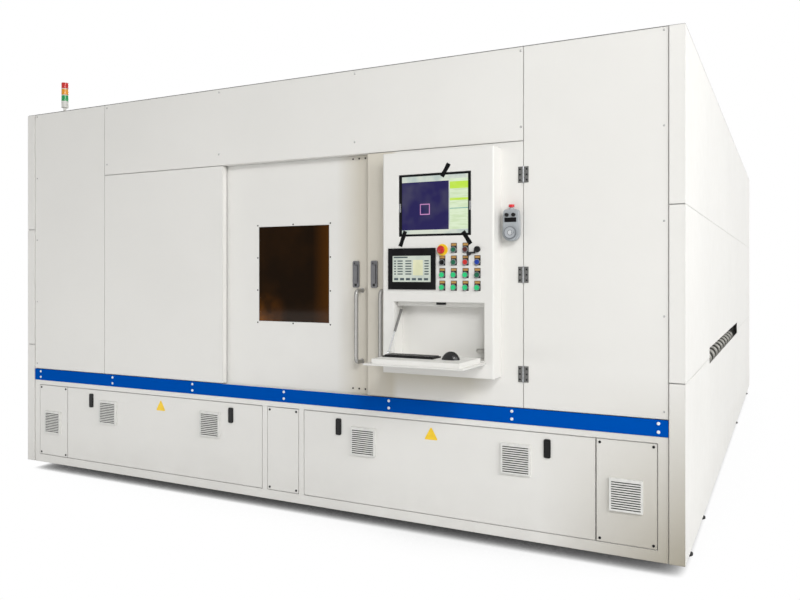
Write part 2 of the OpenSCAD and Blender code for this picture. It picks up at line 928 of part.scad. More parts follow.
// keyboard with one raised field of keys
key_pitch = 17;
key_gap = 2.5;
key_rows = 5;
key_cols = 15;
key_margin = 8;
keyboard_w = key_cols * key_pitch - key_gap + 2 * key_margin;
keyboard_d = key_rows * key_pitch - key_gap + 2 * key_margin;
keyboard_t = 7;
keyboard_x = pan_x0 + 8 + keyboard_w / 2;
module keyboard() {
    key_w = key_pitch - key_gap;
    x0 = keyboard_x - keyboard_w / 2;
    y0 = pan_y0 + 96;
    color(c_black) {
        block(x0, x0 + keyboard_w, y0, y0 + keyboard_d, pan_z, pan_z + keyboard_t);
        for (i = [0:key_cols - 1], j = [0:key_rows - 1])
            translate([x0 + i * key_pitch, y0 + j * key_pitch, pan_z + keyboard_t - 1])
                translate([key_margin, key_margin, 0])
                    cube([key_w, key_w, 5]);
    }
}

// mouse with a wheel in the groove between its buttons
mouse_x = keyboard_x + keyboard_w / 2 + 78;
module mouse() {
    mouse_r = 31;
    mouse_h = 39;
    sunk = 12;
    y = pan_y0 + 130;
    color(c_black) {
        difference() {
            intersection() {
                translate([mouse_x, y, pan_z - sunk])
                    rotate([0, 10, 0])
                        scale([1.49, 1, (mouse_h + sunk) / mouse_r])
                            sphere(r = mouse_r);
                block(mouse_x - 100, mouse_x + 100, y - 60, y + 60, pan_z, pan_z + 80);
            }
            block(mouse_x + 8, mouse_x + 60, y - 1, y + 1, pan_z + mouse_h - 20, pan_z + 80);
            block(mouse_x + 14, mouse_x + 30, y - 4, y + 4, pan_z + mouse_h - 20, pan_z + 80);
        }
        bar_y(mouse_x + 22, pan_z + mouse_h - 14, y - 3, y + 3, 7);
    }
}

// places a strut so that Z runs down from its upper stud to its lower one
module on_strut() {
    translate([strut_x, strut_top[0], strut_top[1]])
        rotate([180 - strut_tilt, 0, 0])
            children();
}

module strut_tube() {
    color(c_dark)
        on_strut()
            difference() {
                union() {
                    cylinder(r = 6.5, h = tube_len);
                    bar_x(0, 0, -5, 5, eye_r);
                }
                bar_x(0, 0, -10, 10, stud_r + 0.05);
                translate([0, 0, 12])
                    cylinder(r = 3.6, h = tube_len);
            }
}

module strut_rod() {
    rod_len = strut_len - tube_len + 14;
    color(c_steel)
        on_strut()
            difference() {
                union() {
                    translate([0, 0, strut_len - rod_len])
                        cylinder(r = 3.5, h = rod_len);
                    bar_x(0, strut_len, -5, 5, eye_r);
                }
                bar_x(0, strut_len, -10, 10, stud_r + 0.05);
            }
}

// a screen set into the front of a housing whose face is at y
module screen_unit(x, z, w, h, depth, y, rim_x, rim_z) {
    difference() {
        block(x - w / 2, x + w / 2, y, y + depth, z - h / 2, z + h / 2);
        block(x - w / 2 + rim_x, x + w / 2 - rim_x, y - 1, y + 2, z - h / 2 + rim_z, z + h / 2 - rim_z);
    }
}

module monitor() {
    color(c_black)
        screen_unit(monitor_x, monitor_z, monitor_w - 2 * run, monitor_h - 2 * run, 40, console_y + 3,
            monitor_bezel, monitor_bezel - 5);
}

module touch_panel() {
    color(c_black)
        screen_unit(touch_x, touch_z, touch_w, touch_h, touch_t, console_y - touch_t, 25, 38);
}

// centre of a button in the grid
function col_x(i) = button_x + i * button_pitch;
function row_z(j) = button_z - j * button_pitch;

// a ring that guides a button, on its label plate
module bezel(i, j) {
    y1 = console_y - plate_t;
    difference() {
        union() {
            bar_y(col_x(i), row_z(j), y1 - bezel_h, y1, bezel_d / 2);
            block(col_x(i) - plate_w / 2, col_x(i) + plate_w / 2, y1, console_y, row_z(j) - 16,
                row_z(j) + 33);
        }
        bar_y(col_x(i), row_z(j), y1 - bezel_h - 1, y1, button_d / 2 + 0.3);
    }
}

module button_bezels() {
    color(c_dark) {
        for (i = [0:3], j = [0:3])
            if (i + j > 0 && !(i == 3 && j == 0))
                bezel(i, j);
        difference() {
            union() {
                bar_y(col_x(0), row_z(0), console_y - 3, console_y, 29);
                bar_y(col_x(0), row_z(0), console_y - 8, console_y, 13);
            }
            bar_y(col_x(0), row_z(0), console_y - 9, console_y - 1, 9 + run);
        }
    }
}

// the cap of a push button
module cap(i, j, proud) {
    y1 = console_y - plate_t;
    bar_y(col_x(i), row_z(j), y1 - bezel_h - proud, y1 - button_travel - 0.5, button_d / 2);
}

module emergency_stop() {
    stem_r = 9;
    head_r = 20;
    color(c_red)
        translate([col_x(0), console_y - 5.5, row_z(0)])
            rotate([90, 0, 0])
                rotate_extrude()
                    polygon([
                        [0, 0], [stem_r, 0], [stem_r, 8], [head_r - 5, 8], [head_r, 13.5], [head_r, 18.5],
                        [head_r - 3, 22], [head_r - 10, 23.5], [0, 24]
                    ]);
}

module mode_selector() {
    y1 = console_y - plate_t;
    color(c_black) {
        bar_y(col_x(0), row_z(1), y1 - bezel_h - 2, y1 - 0.5, button_d / 2);
        block(col_x(0) - 4, col_x(0) + 4, y1 - bezel_h - 14, y1 - bezel_h - 1, row_z(1) - 10, row_z(1) + 10);
    }
}

// a socket with its cap hanging on a short strap beside it
module service_port() {
    x = col_x(3);
    color(c_black) {
        difference() {
            bar_y(x, row_z(0), console_y - 12, console_y, 15);
            bar_y(x, row_z(0), console_y - 13, console_y - 4, 11);
        }
        block(x - 44, x - 12, console_y - 8, console_y - 6, row_z(0) - 20, row_z(0) - 12);
        block(x - 17, x - 12, console_y - 8, console_y, row_z(0) - 20, row_z(0) - 4);
        bar_y(x - 40, row_z(0) - 22, console_y - 26, console_y - 6, 8);
    }
}

module button_green_1() {
    color(c_deep_green)
        cap(1, 0, 1);
}

module button_red_1() {
    color(c_deep_red)
        cap(2, 0, 1);
}

module button_green_2() {
    color(c_deep_green)
        cap(1, 1, 1);
}

module button_red_2() {
    color(c_red)
        cap(2, 1, 1);
}

module button_blue() {
    color(c_lens_blue)
        cap(3, 1, 1);
}

module button_lit_1() {
    color(c_green)
        cap(0, 2, 4);
}

module button_lit_2() {
    color(c_green)
        cap(1, 2, 4);
}

module button_lit_3() {
    color(c_green)
        cap(2, 2, 4);
}

module button_teal() {
    color(c_deep_green)
        cap(3, 2, 4);
}

module button_lit_4() {
    color(c_green)
        cap(0, 3, 4);
}

module button_lit_5() {
    color(c_green)
        cap(1, 3, 4);
}

module button_lit_6() {
    color(c_green)
        cap(2, 3, 4);
}

module button_lit_7() {
    color(c_green)
        cap(3, 3, 4);
}

// hand-held control unit, parked on the hinged door by the pad on its back
pendant_y = -pad_t - pendant_t;
wheel_drop = 36;
dial_r = 30;
// outline of its case: square shoulders over a round end, drawn in by inset
module pendant_outline(inset) {
    shoulder_r = 14;
    hull() {
        for (s = [-1, 1])
            translate([s * (pendant_w / 2 - shoulder_r), pendant_h / 2 - shoulder_r])
                circle(r = shoulder_r - inset);
        translate([0, -wheel_drop])
            circle(r = pendant_h / 2 - wheel_drop - inset);
    }
}

module pendant() {
    edge = 4;
    knob_rise = 50;
    stop_z = pendant_z + pendant_h / 2 - 1;
    color(c_pale) {
        translate([pendant_x, -pad_t, pendant_z])
            rotate([90, 0, 0]) {
                linear_extrude(height = pendant_t - edge)
                    pendant_outline(0);
                linear_extrude(height = pendant_t)
                    pendant_outline(edge / 2);
            }
        bar_y(pendant_x, pendant_z + 30, -pad_t - 1, 0, 22);
        for (s = [-1, 1])
            bar_y(pendant_x + s * 17, pendant_z + knob_rise, pendant_y - 12, pendant_y + 1, 9);
        translate([pendant_x, -pad_t - pendant_t / 2, stop_z])
            difference() {
                cylinder(r = 12, h = 9);
                translate([0, 0, 2])
                    cylinder(r = 8 + run, h = 9);
            }
    }
}

module pendant_wheel() {
    face_t = 6;
    rim_w = 6;
    rim_t = 10;
    color(c_steel)
        translate([pendant_x, pendant_y - run, pendant_z - wheel_drop])
            rotate([90, 0, 0]) {
                rotate_extrude() {
                    square([dial_r, face_t]);
                    translate([dial_r - rim_w, 0])
                        square([rim_w, rim_t]);
                }
                translate([dial_r / 2, 0, face_t - 1])
                    cylinder(r = 6, h = 14);
            }
}

module pendant_stop() {
    color(c_red)
        translate([pendant_x, -pad_t - pendant_t / 2, pendant_z + pendant_h / 2 - 1]) {
            translate([0, 0, 13])
                cylinder(r = 14, h = 12);
            translate([0, 0, 5 + run])
                cylinder(r = 8, h = 9);
        }
}

// deck, machine bed and the rails that carry the gantry
module machine_bed() {
    color(c_pale) {
        for (y = [[frame_y + tube + 1, bed_y0 - 1], [bed_y1 + bed_wall_w + 1, frame_back - tube - 1]])
            block(-frame_x + 1, frame_x - 1, y[0], y[1], z_deck, z_deck + 4);
        for (y = [bed_y0, bed_y1]) {
            block(-bed_x, bed_x, y, y + bed_wall_w, z_deck, rail_z);
            translate([0, y + bed_wall_w / 2, 0])
                block(-bed_x, bed_x, -rail_w / 2, rail_w / 2, rail_z + weld, rail_z + rail_h);
        }
        block(-bed_x, bed_x, bed_y0 + bed_wall_w + weld, bed_y1 - weld, z_deck, z_deck + 20);
    }
}

// middle of wheel i along its shaft
function wheel_y(i) = lane_mid + (i - (wheel_count - 1) / 2) * wheel_pitch;
// place of shaft i along the conveyor
function shaft_at(i) = -shaft_x + i * shaft_pitch;

module conveyor_shafts() {
    color(c_pale)
        for (i = [0:shaft_count - 1]) {
            bar_y(shaft_at(i), shaft_z, beam_y0 - 20, beam_y1 + beam_w + 20, shaft_r);
            for (j = [0:wheel_count - 1])
                bar_y(shaft_at(i), shaft_z, wheel_y(j) - wheel_w / 2, wheel_y(j) + wheel_w / 2, wheel_d / 2);
        }
}

// one bearing block on a beam, about the shaft that it carries
module bearing_block() {
    block_w = 50;
    block(-block_w / 2, block_w / 2, 8, beam_w - 8, beam_z1 - shaft_z - 1, shaft_r + 8);
}

// beams, bearing blocks and legs
module conveyor_frame() {
    leg_w = 70;
    leg_x = bed_x - 90;
    color(c_dark)
        for (y = [beam_y0, beam_y1])
            difference() {
                union() {
                    block(-shaft_x - 35, shaft_x + 35, y, y + beam_w, beam_z0, beam_z1);
                    for (i = [0:shaft_count - 1])
                        translate([shaft_at(i), y, shaft_z])
                            bearing_block();
                    for (s = [-1, 1])
                        translate([s * leg_x, y, 0])
                            block(-leg_w / 2, leg_w / 2, 0, beam_w, z_deck + 20, beam_z0 + 1);
                }
                for (i = [0:shaft_count - 1])
                    bar_y(shaft_at(i), shaft_z, y - 1, y + beam_w + 1, shaft_r + 0.05);
            }
}

// one foot of the gantry, running on its rail at y
module gantry_foot(y) {
    half = gantry_w / 2 + 60;
    groove = rail_w / 2 + run;
    difference() {
        block(-half, half, y, y + bed_wall_w, rail_z + 12, gantry_z + gantry_h);
        translate([0, y + bed_wall_w / 2, 0])
            block(-half - 1, half + 1, -groove, groove, rail_z, rail_z + rail_h + run);
    }
}

module gantry_beam() {
    y0 = bed_y0 + bed_wall_w + weld;
    y1 = bed_y1 - weld;
    color(c_white) {
        block(-gantry_w / 2, gantry_w / 2, y0, y1, gantry_z, gantry_z + gantry_h);
        for (z = [gantry_z + 40, gantry_z + gantry_h - 60])
            block(gantry_w / 2, gantry_w / 2 + 20, y0, y1, z, z + 20);
        gantry_foot(bed_y0);
        gantry_foot(bed_y1);
    }
}

// carriage on the front face of the gantry beam
module head_carriage() {
    x0 = gantry_w / 2 + 20 + run;
    z0 = gantry_z - 20;
    z1 = gantry_z + gantry_h + 20;
    color(c_dark)
        translate([x0, carriage_y, 0]) {
            block(0, 40, -carriage_w / 2, carriage_w / 2, z0, z1);
            for (s = [-1, 1])
                block(40, 60, s * 70 - 12, s * 70 + 12, z0, z1);
        }
}

// scan head: slide plate, housing, scanner block and lens
module scan_head() {
    x0 = gantry_w / 2 + 80 + 2 * run;
    half = head_w / 2;
    color(c_pale)
        translate([x0, carriage_y, head_z]) {
            block(0, 30, -half, half, 0, head_h + 120);
            block(30, 30 + head_w, -half, half, 90, head_h + 60);
            block(50, 10 + head_w, -60, 60, -20, 90);
            translate([30 + half, 0, -70])
                cylinder(r = 48, h = 50);
        }
}

// stands the machine so that the middle of its footprint is at the origin
module placed() {
    translate([0, front_y, 0])
        children();
}

placed() levelling_feet();
placed() frame();
placed() roof_and_rear_panels();
placed() side_panels();
placed() front_panels();
placed() accent_strip();
placed() base_front_frame();
placed() base_covers();
placed() louvre_grilles();
placed() cover_latches();
placed() beacon_base();
placed() beacon_red();
placed() beacon_amber();
placed() beacon_green();
placed() door_track();
placed() hinge_frame_leaves();
placed() machine_bed();
placed() conveyor_frame();
placed() conveyor_shafts();
placed() gantry_beam();
placed() head_carriage();
placed() scan_head();
placed() sliding_door();
placed() window_pane();
placed() sliding_door_handle();
placed() sliding_door_lock();
placed() sliding_lock_lever();
placed() hinged_door();
placed() hinged_door_handle();
placed() hinged_door_lock();
placed() hinged_lock_lever();
placed() hinge_door_leaves();
placed() console_housing();
placed() monitor();
placed() touch_panel();
placed() button_bezels();
placed() emergency_stop();
placed() mode_selector();
placed() service_port();
placed() button_green_1();
placed() button_red_1();
placed() button_green_2();
placed() button_red_2();
placed() button_blue();
placed() button_lit_1();
placed() button_lit_2();
placed() button_lit_3();
placed() button_teal();
placed() button_lit_4();
placed() button_lit_5();
placed() button_lit_6();
placed() button_lit_7();
placed() keyboard_tray();
placed() keyboard();
placed() mouse();
placed() strut_tube();
placed() strut_rod();
placed() pendant();
placed() pendant_wheel();
placed() pendant_stop();
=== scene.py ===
"""Looks of the laser etching machine: camera, light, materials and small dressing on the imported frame.

Lengths in the layout tables are millimetres from the middle of the front plane at floor level;
at() turns them into the scene's metres.
"""

import math

import bmesh
import bpy
from mathutils import Matrix, Vector


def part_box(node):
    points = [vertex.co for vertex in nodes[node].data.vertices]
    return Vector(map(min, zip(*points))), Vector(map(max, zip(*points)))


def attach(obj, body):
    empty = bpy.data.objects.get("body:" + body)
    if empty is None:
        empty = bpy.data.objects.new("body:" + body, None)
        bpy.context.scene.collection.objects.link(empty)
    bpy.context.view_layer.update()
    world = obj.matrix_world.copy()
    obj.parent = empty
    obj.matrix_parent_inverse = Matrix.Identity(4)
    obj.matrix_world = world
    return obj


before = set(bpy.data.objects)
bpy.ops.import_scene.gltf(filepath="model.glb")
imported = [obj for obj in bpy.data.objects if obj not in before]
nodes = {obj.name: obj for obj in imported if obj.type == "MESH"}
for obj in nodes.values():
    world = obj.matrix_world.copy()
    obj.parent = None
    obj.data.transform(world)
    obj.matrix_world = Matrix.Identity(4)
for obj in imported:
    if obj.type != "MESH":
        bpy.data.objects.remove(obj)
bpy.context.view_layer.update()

MM = 0.001
FRONT_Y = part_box("front_panels")[0][1]
IMAGE_W, IMAGE_H = 800, 600
TO_FRONT = Vector((0, -1, 0))
TO_BACK = Vector((0, 1, 0))


def at(x, y, z):
    """A point given in millimetres from the front plane, in the scene's metres."""
    return Vector((x * MM, FRONT_Y + y * MM, z * MM))


def local(point):
    """A point of the scene in millimetres from the front plane."""
    return Vector((point[0] / MM, (point[1] - FRONT_Y) / MM, point[2] / MM))


def middle(node):
    """Middle of a CAD node's box, in millimetres from the front plane."""
    low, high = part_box(node)
    return (local(low) + local(high)) / 2


def srgb(red, green, blue):
    """A colour written as 0 to 255, as the linear values that a shader takes."""

    def linear(value):
        share = value / 255
        return share / 12.92 if share <= 0.04045 else ((share + 0.055) / 1.055) ** 2.4

    return (linear(red), linear(green), linear(blue), 1.0)


# Camera, light and floor

CAMERA_PLACE = (2568, -3569, 1349)
CAMERA_TURN = 0.4711
FOCAL_PX = 761.63
HORIZON_PX = 275
SENSOR_MM = 36
VIEW_RANGE = 200
WORLD_LIGHT = 0.37
WORLD_TINT = (1.0, 0.99, 0.975, 1)
FLOOR_HALF = 60
FLOOR_GREY = (0.76, 0.76, 0.76, 1)
SHADOW_REACH = 4.0
SHADOW_RANGE = {"From Min": 0.04, "From Max": 0.46, "To Min": 0.02, "To Max": 1.0}


def add_camera():
    """The photograph's camera: level, with its horizon moved by a lens shift."""
    data = bpy.data.cameras.new("photo_camera")
    data.sensor_width = SENSOR_MM
    data.lens = SENSOR_MM * FOCAL_PX / IMAGE_W
    data.shift_y = (HORIZON_PX - IMAGE_H / 2) / IMAGE_W
    data.clip_end = VIEW_RANGE
    camera = bpy.data.objects.new("photo_camera", data)
    camera.location = at(*CAMERA_PLACE)
    camera.rotation_euler = (math.pi / 2, 0, CAMERA_TURN)
    bpy.context.scene.collection.objects.link(camera)
    bpy.context.scene.camera = camera


def seen_directly(tree):
    """1 for rays that come straight, mirrored or through glass from the camera, else 0."""
    path = tree.nodes.new("ShaderNodeLightPath")
    total = path.outputs["Is Camera Ray"]
    for kind in ("Is Glossy Ray", "Is Transmission Ray"):
        either = tree.nodes.new("ShaderNodeMath")
        either.operation = "MAXIMUM"
        tree.links.new(total, either.inputs[0])
        tree.links.new(path.outputs[kind], either.inputs[1])
        total = either.outputs[0]
    return total


def add_world(strength):
    """Even light from all round. Seen directly it is plain white."""
    world = bpy.data.worlds.new("studio")
    world.use_nodes = True
    tree = world.node_tree
    light = tree.nodes["Background"]
    light.inputs["Color"].default_value = WORLD_TINT
    light.inputs["Strength"].default_value = strength
    white = tree.nodes.new("ShaderNodeBackground")
    white.inputs["Color"].default_value = (1, 1, 1, 1)
    mix = tree.nodes.new("ShaderNodeMixShader")
    tree.links.new(seen_directly(tree), mix.inputs[0])
    tree.links.new(light.outputs[0], mix.inputs[1])
    tree.links.new(white.outputs[0], mix.inputs[2])
    tree.links.new(mix.outputs[0], tree.nodes["World Output"].inputs["Surface"])
    bpy.context.scene.world = world


def add_area(name, place, target, size, watts):
    """A rectangular lamp that looks at target."""
    data = bpy.data.lights.new(name, "AREA")
    data.shape = "RECTANGLE"
    data.size, data.size_y = size
    data.energy = watts
    lamp = bpy.data.objects.new(name, data)
    lamp.location = place
    aim = Vector(target) - Vector(place)
    lamp.rotation_euler = aim.to_track_quat("-Z", "Y").to_euler()
    bpy.context.scene.collection.objects.link(lamp)


def add_floor():
    """A pale floor. Seen directly it is white, with a soft shadow where the machine shuts out the sky."""
    mesh = bpy.data.meshes.new("floor")
    outline = [(x * FLOOR_HALF, y * FLOOR_HALF, 0) for x, y in ((-1, -1), (1, -1), (1, 1), (-1, 1))]
    mesh.from_pydata(outline, [], [(0, 1, 2, 3)])
    floor = bpy.data.objects.new("floor", mesh)
    bpy.context.scene.collection.objects.link(floor)
    finish = bpy.data.materials.new("studio_floor")
    finish.use_nodes = True
    tree = finish.node_tree
    tree.nodes.remove(tree.nodes["Principled BSDF"])
    plain = tree.nodes.new("ShaderNodeBsdfDiffuse")
    plain.inputs["Color"].default_value = FLOOR_GREY
    shown = tree.nodes.new("ShaderNodeEmission")
    open_sky = tree.nodes.new("ShaderNodeAmbientOcclusion")
    open_sky.inputs["Distance"].default_value = SHADOW_REACH
    depth = tree.nodes.new("ShaderNodeMapRange")
    for socket, value in SHADOW_RANGE.items():
        depth.inputs[socket].default_value = value
    tree.links.new(open_sky.outputs["AO"], depth.inputs["Value"])
    tree.links.new(depth.outputs[0], shown.inputs["Color"])
    mix = tree.nodes.new("ShaderNodeMixShader")
    tree.links.new(seen_directly(tree), mix.inputs[0])
    tree.links.new(plain.outputs[0], mix.inputs[1])
    tree.links.new(shown.outputs[0], mix.inputs[2])
    tree.links.new(mix.outputs[0], tree.nodes["Material Output"].inputs["Surface"])
    mesh.materials.append(finish)


bpy.context.scene.view_settings.view_transform = "Standard"
add_camera()
add_world(WORLD_LIGHT)
add_area("key_front", (4.8, -8.6, 5.0), (0.8, -2.9, 1.2), (2.0, 2.0), 206)
add_area("key_right", (9.0, -6.6, 4.5), (1.8, -1.5, 1.2), (6, 5), 360)
add_area("fill_side", (10.0, 5.0, 3.4), (2.2, 2.6, 1.4), (6, 4), 290)
add_area("fill_rear", (-9.0, 9.0, 4.5), (-1.0, 2.0, 1.2), (6, 5), 420)
add_area("fill_base", (-3.0, -7.0, 0.5), (-1.3, -2.9, 0.3), (4, 0.8), 40)
add_floor()


# Materials


class Surface:
    """A Principled material whose textures follow the piece's own coordinates."""

    def __init__(self, name, colour, roughness, metallic=0.0):
        self.material = bpy.data.materials.new(name)
        self.material.use_nodes = True
        self.material.diffuse_color = colour
        self.tree = self.material.node_tree
        self.shader = self.tree.nodes["Principled BSDF"]
        self.colour = colour
        self.set("Base Color", colour)
        self.set("Roughness", roughness)
        self.set("Metallic", metallic)
        self.coords = self.tree.nodes.new("ShaderNodeTexCoord").outputs["Object"]

    def set(self, socket, value):
        self.shader.inputs[socket].default_value = value

    def link(self, source, target):
        self.tree.links.new(source, target)

    def noise(self, scale, detail=3.0, stretch=(1, 1, 1)):
        """Noise of about scale cells to the metre, drawn out along an axis where stretch is small."""
        place = self.tree.nodes.new("ShaderNodeMapping")
        place.inputs["Scale"].default_value = stretch
        self.link(self.coords, place.inputs["Vector"])
        texture = self.tree.nodes.new("ShaderNodeTexNoise")
        texture.inputs["Scale"].default_value = scale
        texture.inputs["Detail"].default_value = detail
        self.link(place.outputs[0], texture.inputs["Vector"])
        return texture.outputs["Fac"]

    def part_of(self, vector, axis):
        """One coordinate of a vector."""
        split = self.tree.nodes.new("ShaderNodeSeparateXYZ")
        self.link(vector, split.inputs[0])
        return split.outputs[axis]

    def along(self, axis, low, high):
        """0 at the place low on an axis and 1 at the place high, in metres."""
        return self.spread(self.part_of(self.coords, axis), low, high, 0, 1)

    def turned_left(self):
        """1 on faces turned to the left, 0 on those turned to the front or right."""
        normal = self.tree.nodes.new("ShaderNodeTexCoord").outputs["Normal"]
        return self.spread(self.part_of(normal, "X"), 0.05, -0.75, 0, 1)

    def faces_front(self):
        """1 on faces turned to the front, 0 on those turned up or aside."""
        normal = self.tree.nodes.new("ShaderNodeNewGeometry").outputs["True Normal"]
        return self.spread(self.part_of(normal, "Y"), -0.5, -0.9, 0, 1)

    def spread(self, source, low, high, new_low, new_high):
        """source between low and high, mapped to new_low and new_high and held there."""
        node = self.tree.nodes.new("ShaderNodeMapRange")
        for name, value in (("From Min", low), ("From Max", high), ("To Min", new_low), ("To Max", new_high)):
            node.inputs[name].default_value = value
        self.link(source, node.inputs["Value"])
        return node.outputs[0]

    def times(self, first, second):
        node = self.tree.nodes.new("ShaderNodeMath")
        node.operation = "MULTIPLY"
        self.link(first, node.inputs[0])
        self.link(second, node.inputs[1])
        return node.outputs[0]

    def math_with(self, operation, source, number):
        """source and a fixed number, combined by a math operation."""
        node = self.tree.nodes.new("ShaderNodeMath")
        node.operation = operation
        node.inputs[1].default_value = number
        self.link(source, node.inputs[0])
        return node.outputs[0]

    def length_of(self, vector):
        node = self.tree.nodes.new("ShaderNodeVectorMath")
        node.operation = "LENGTH"
        self.link(vector, node.inputs[0])
        return node.outputs["Value"]

    def tint(self, share, other):
        """Mixes the colour so far with another one, by share."""
        mix = self.tree.nodes.new("ShaderNodeMix")
        mix.data_type = "RGBA"
        base = self.shader.inputs["Base Color"]
        if base.is_linked:
            self.link(base.links[0].from_socket, mix.inputs["A"])
        else:
            mix.inputs["A"].default_value = self.colour
        mix.inputs["B"].default_value = other
        self.link(share, mix.inputs["Factor"])
        self.link(mix.outputs["Result"], base)

    def round_edges(self, radius):
        """Lets the light see each sharp edge as a fold of this radius."""
        node = self.tree.nodes.new("ShaderNodeBevel")
        node.samples = 4
        node.inputs["Radius"].default_value = radius
        self.link(node.outputs[0], self.shader.inputs["Normal"])

    def rough(self, source, low, high):
        self.link(self.spread(source, 0.3, 0.7, low, high), self.shader.inputs["Roughness"])

    def bump(self, source, strength, depth):
        node = self.tree.nodes.new("ShaderNodeBump")
        node.inputs["Strength"].default_value = strength
        node.inputs["Distance"].default_value = depth
        self.link(source, node.inputs["Height"])
        normal = self.shader.inputs["Normal"]
        if normal.is_linked:
            self.link(normal.links[0].from_socket, node.inputs["Normal"])
        self.link(node.outputs[0], normal)


def shade(colour, factor):
    """The same colour, darker or lighter."""
    return (colour[0] * factor, colour[1] * factor, colour[2] * factor, 1.0)


FOLD_R = 0.006
SHAFT_X, SHAFT_Z, SHAFT_COUNT = 2085, 806, 12
TYRE_R, HUB_R = 0.039, 0.027
DIAL_FACE_R, DIAL_RING_R, DIAL_HUB_R = 0.0265, 0.0145, 0.0115
RING_BLUR = 0.001
CONSOLE_SHADE = 0.6


def powder_coat(name, colour, dust_and_shade=0.05, gloss=0.35, console_shade=False):
    """Painted sheet metal: orange peel, faint waves in the sheet, clouding and dust near the floor.

    The warm shades that the photograph shows at the lower right of the front, and beside and below the
    console, are fixed tints, so the console's shade moves with the doors."""
    paint = Surface(name, colour, 0.42)
    paint.set("Specular IOR Level", gloss)
    paint.round_edges(FOLD_R)
    cloud = paint.noise(1.3, 4)
    paint.tint(paint.spread(cloud, 0.35, 0.7, 0.0, 1.0), shade(colour, 0.965))
    # Painted shade: a warm darker tint on front faces towards the lower right end and the floor. Its strength
    # is sixteen times the third argument, which also sets the dust below.
    low_end_shade = paint.times(paint.along("X", 1.5, 2.15), paint.along("Z", 0.9, 0.06))
    low_end_shade = paint.times(low_end_shade, paint.faces_front())
    paint.tint(paint.spread(low_end_shade, 0.0, 1.0, 0.0, dust_and_shade * 16), srgb(150, 141, 118))
    dust = paint.times(paint.along("Z", 0.32, 0.05), paint.noise(9, 5))
    paint.tint(paint.spread(dust, 0.0, 1.0, 0.0, dust_and_shade * 4), srgb(150, 145, 135))
    if console_shade:
        beside = paint.times(paint.along("X", 0.33, 0.48), paint.along("X", 0.74, 0.70))
        paint.tint(paint.spread(beside, 0.0, 1.0, 0.0, CONSOLE_SHADE), srgb(196, 187, 166))
        below = paint.times(paint.along("Z", 0.70, 0.85), paint.along("Z", 1.0, 0.9))
        width = paint.times(paint.along("X", 0.62, 0.74), paint.along("X", 1.27, 1.14))
        below = paint.times(below, width)
        paint.tint(paint.spread(below, 0.0, 1.0, 0.0, CONSOLE_SHADE), srgb(172, 162, 134))
    paint.rough(paint.noise(14, 4), 0.36, 0.5)
    paint.bump(paint.noise(2.2, 1), 0.12, 0.004)
    paint.bump(paint.noise(700, 2), 0.10, 0.0003)
    return paint.material


def moulded(name, colour, roughness=0.45, grain=1500, gloss=0.5):
    """Moulded plastic with a fine spark-eroded grain and slightly polished patches."""
    plastic = Surface(name, colour, roughness)
    plastic.set("Specular IOR Level", gloss)
    plastic.tint(plastic.spread(plastic.noise(30, 4), 0.4, 0.75, 0.0, 1.0), shade(colour, 0.85))
    plastic.rough(plastic.noise(60, 4), roughness - 0.08, roughness + 0.08)
    plastic.bump(plastic.noise(grain, 2), 0.25, 0.0002)
    return plastic.material


def brushed(name, colour, stretch, roughness=0.3):
    """Brushed metal: fine lines along one axis, with rubbed patches."""
    metal = Surface(name, colour, roughness, 1.0)
    lines = metal.noise(900, 3, stretch)
    metal.tint(metal.spread(lines, 0.3, 0.7, 0.0, 0.6), shade(colour, 0.8))
    metal.rough(metal.noise(25, 4), roughness - 0.08, roughness + 0.1)
    metal.bump(lines, 0.2, 0.0002)
    return metal.material


def satin(name, colour, roughness, metallic=0.35, dark_side_reflection=None):
    """Metal with a dull, even polish and faint clouding. The colour given for the far side is a painted
    reflection of
    dark surroundings: a fixed tint on the side turned left, which is dark in the photograph."""
    metal = Surface(name, colour, roughness, metallic)
    clouds = metal.noise(40, 4)
    metal.tint(metal.spread(clouds, 0.35, 0.7, 0.0, 1.0), shade(colour, 0.9))
    if dark_side_reflection:
        # Painted reflection: the side turned left takes a darker tint for the dark surroundings it would
        # mirror.
        metal.tint(metal.turned_left(), dark_side_reflection)
    metal.rough(clouds, roughness - 0.05, roughness + 0.08)
    metal.bump(metal.noise(1200, 2), 0.1, 0.0001)
    return metal.material


def cast_metal(name, colour, roughness, spots=120):
    """Cast or ground metal with a mottled skin."""
    metal = Surface(name, colour, roughness, 1.0)
    mottle = metal.noise(spots, 5)
    metal.tint(metal.spread(mottle, 0.35, 0.7, 0.0, 1.0), shade(colour, 0.6))
    metal.rough(mottle, roughness - 0.1, roughness + 0.15)
    metal.bump(mottle, 0.25, 0.0006)
    return metal.material


def lens(name, colour, glow=0.0):
    """A coloured lens, prismed inside, that may be lit."""
    plastic = Surface(name, colour, 0.16)
    ribs = plastic.noise(260, 2)
    plastic.tint(plastic.spread(ribs, 0.35, 0.65, 0.0, 1.0), shade(colour, 0.7))
    plastic.bump(ribs, 0.2, 0.0004)
    plastic.set("Specular IOR Level", 0.3)
    plastic.set("Coat Weight", 0.15)
    plastic.set("Coat Roughness", 0.05)
    if glow:
        plastic.set("Emission Color", colour)
        plastic.set("Emission Strength", glow)
    return plastic.material


def gloss_black(name):
    """Black glass or piano-black plastic with faint smears."""
    glass = Surface(name, srgb(14, 14, 16), 0.1)
    glass.set("Specular IOR Level", 0.1)
    smear = glass.noise(22, 5, (1, 1, 0.4))
    glass.rough(smear, 0.06, 0.2)
    glass.tint(glass.spread(smear, 0.4, 0.8, 0.0, 1.0), srgb(24, 24, 27))
    return glass.material


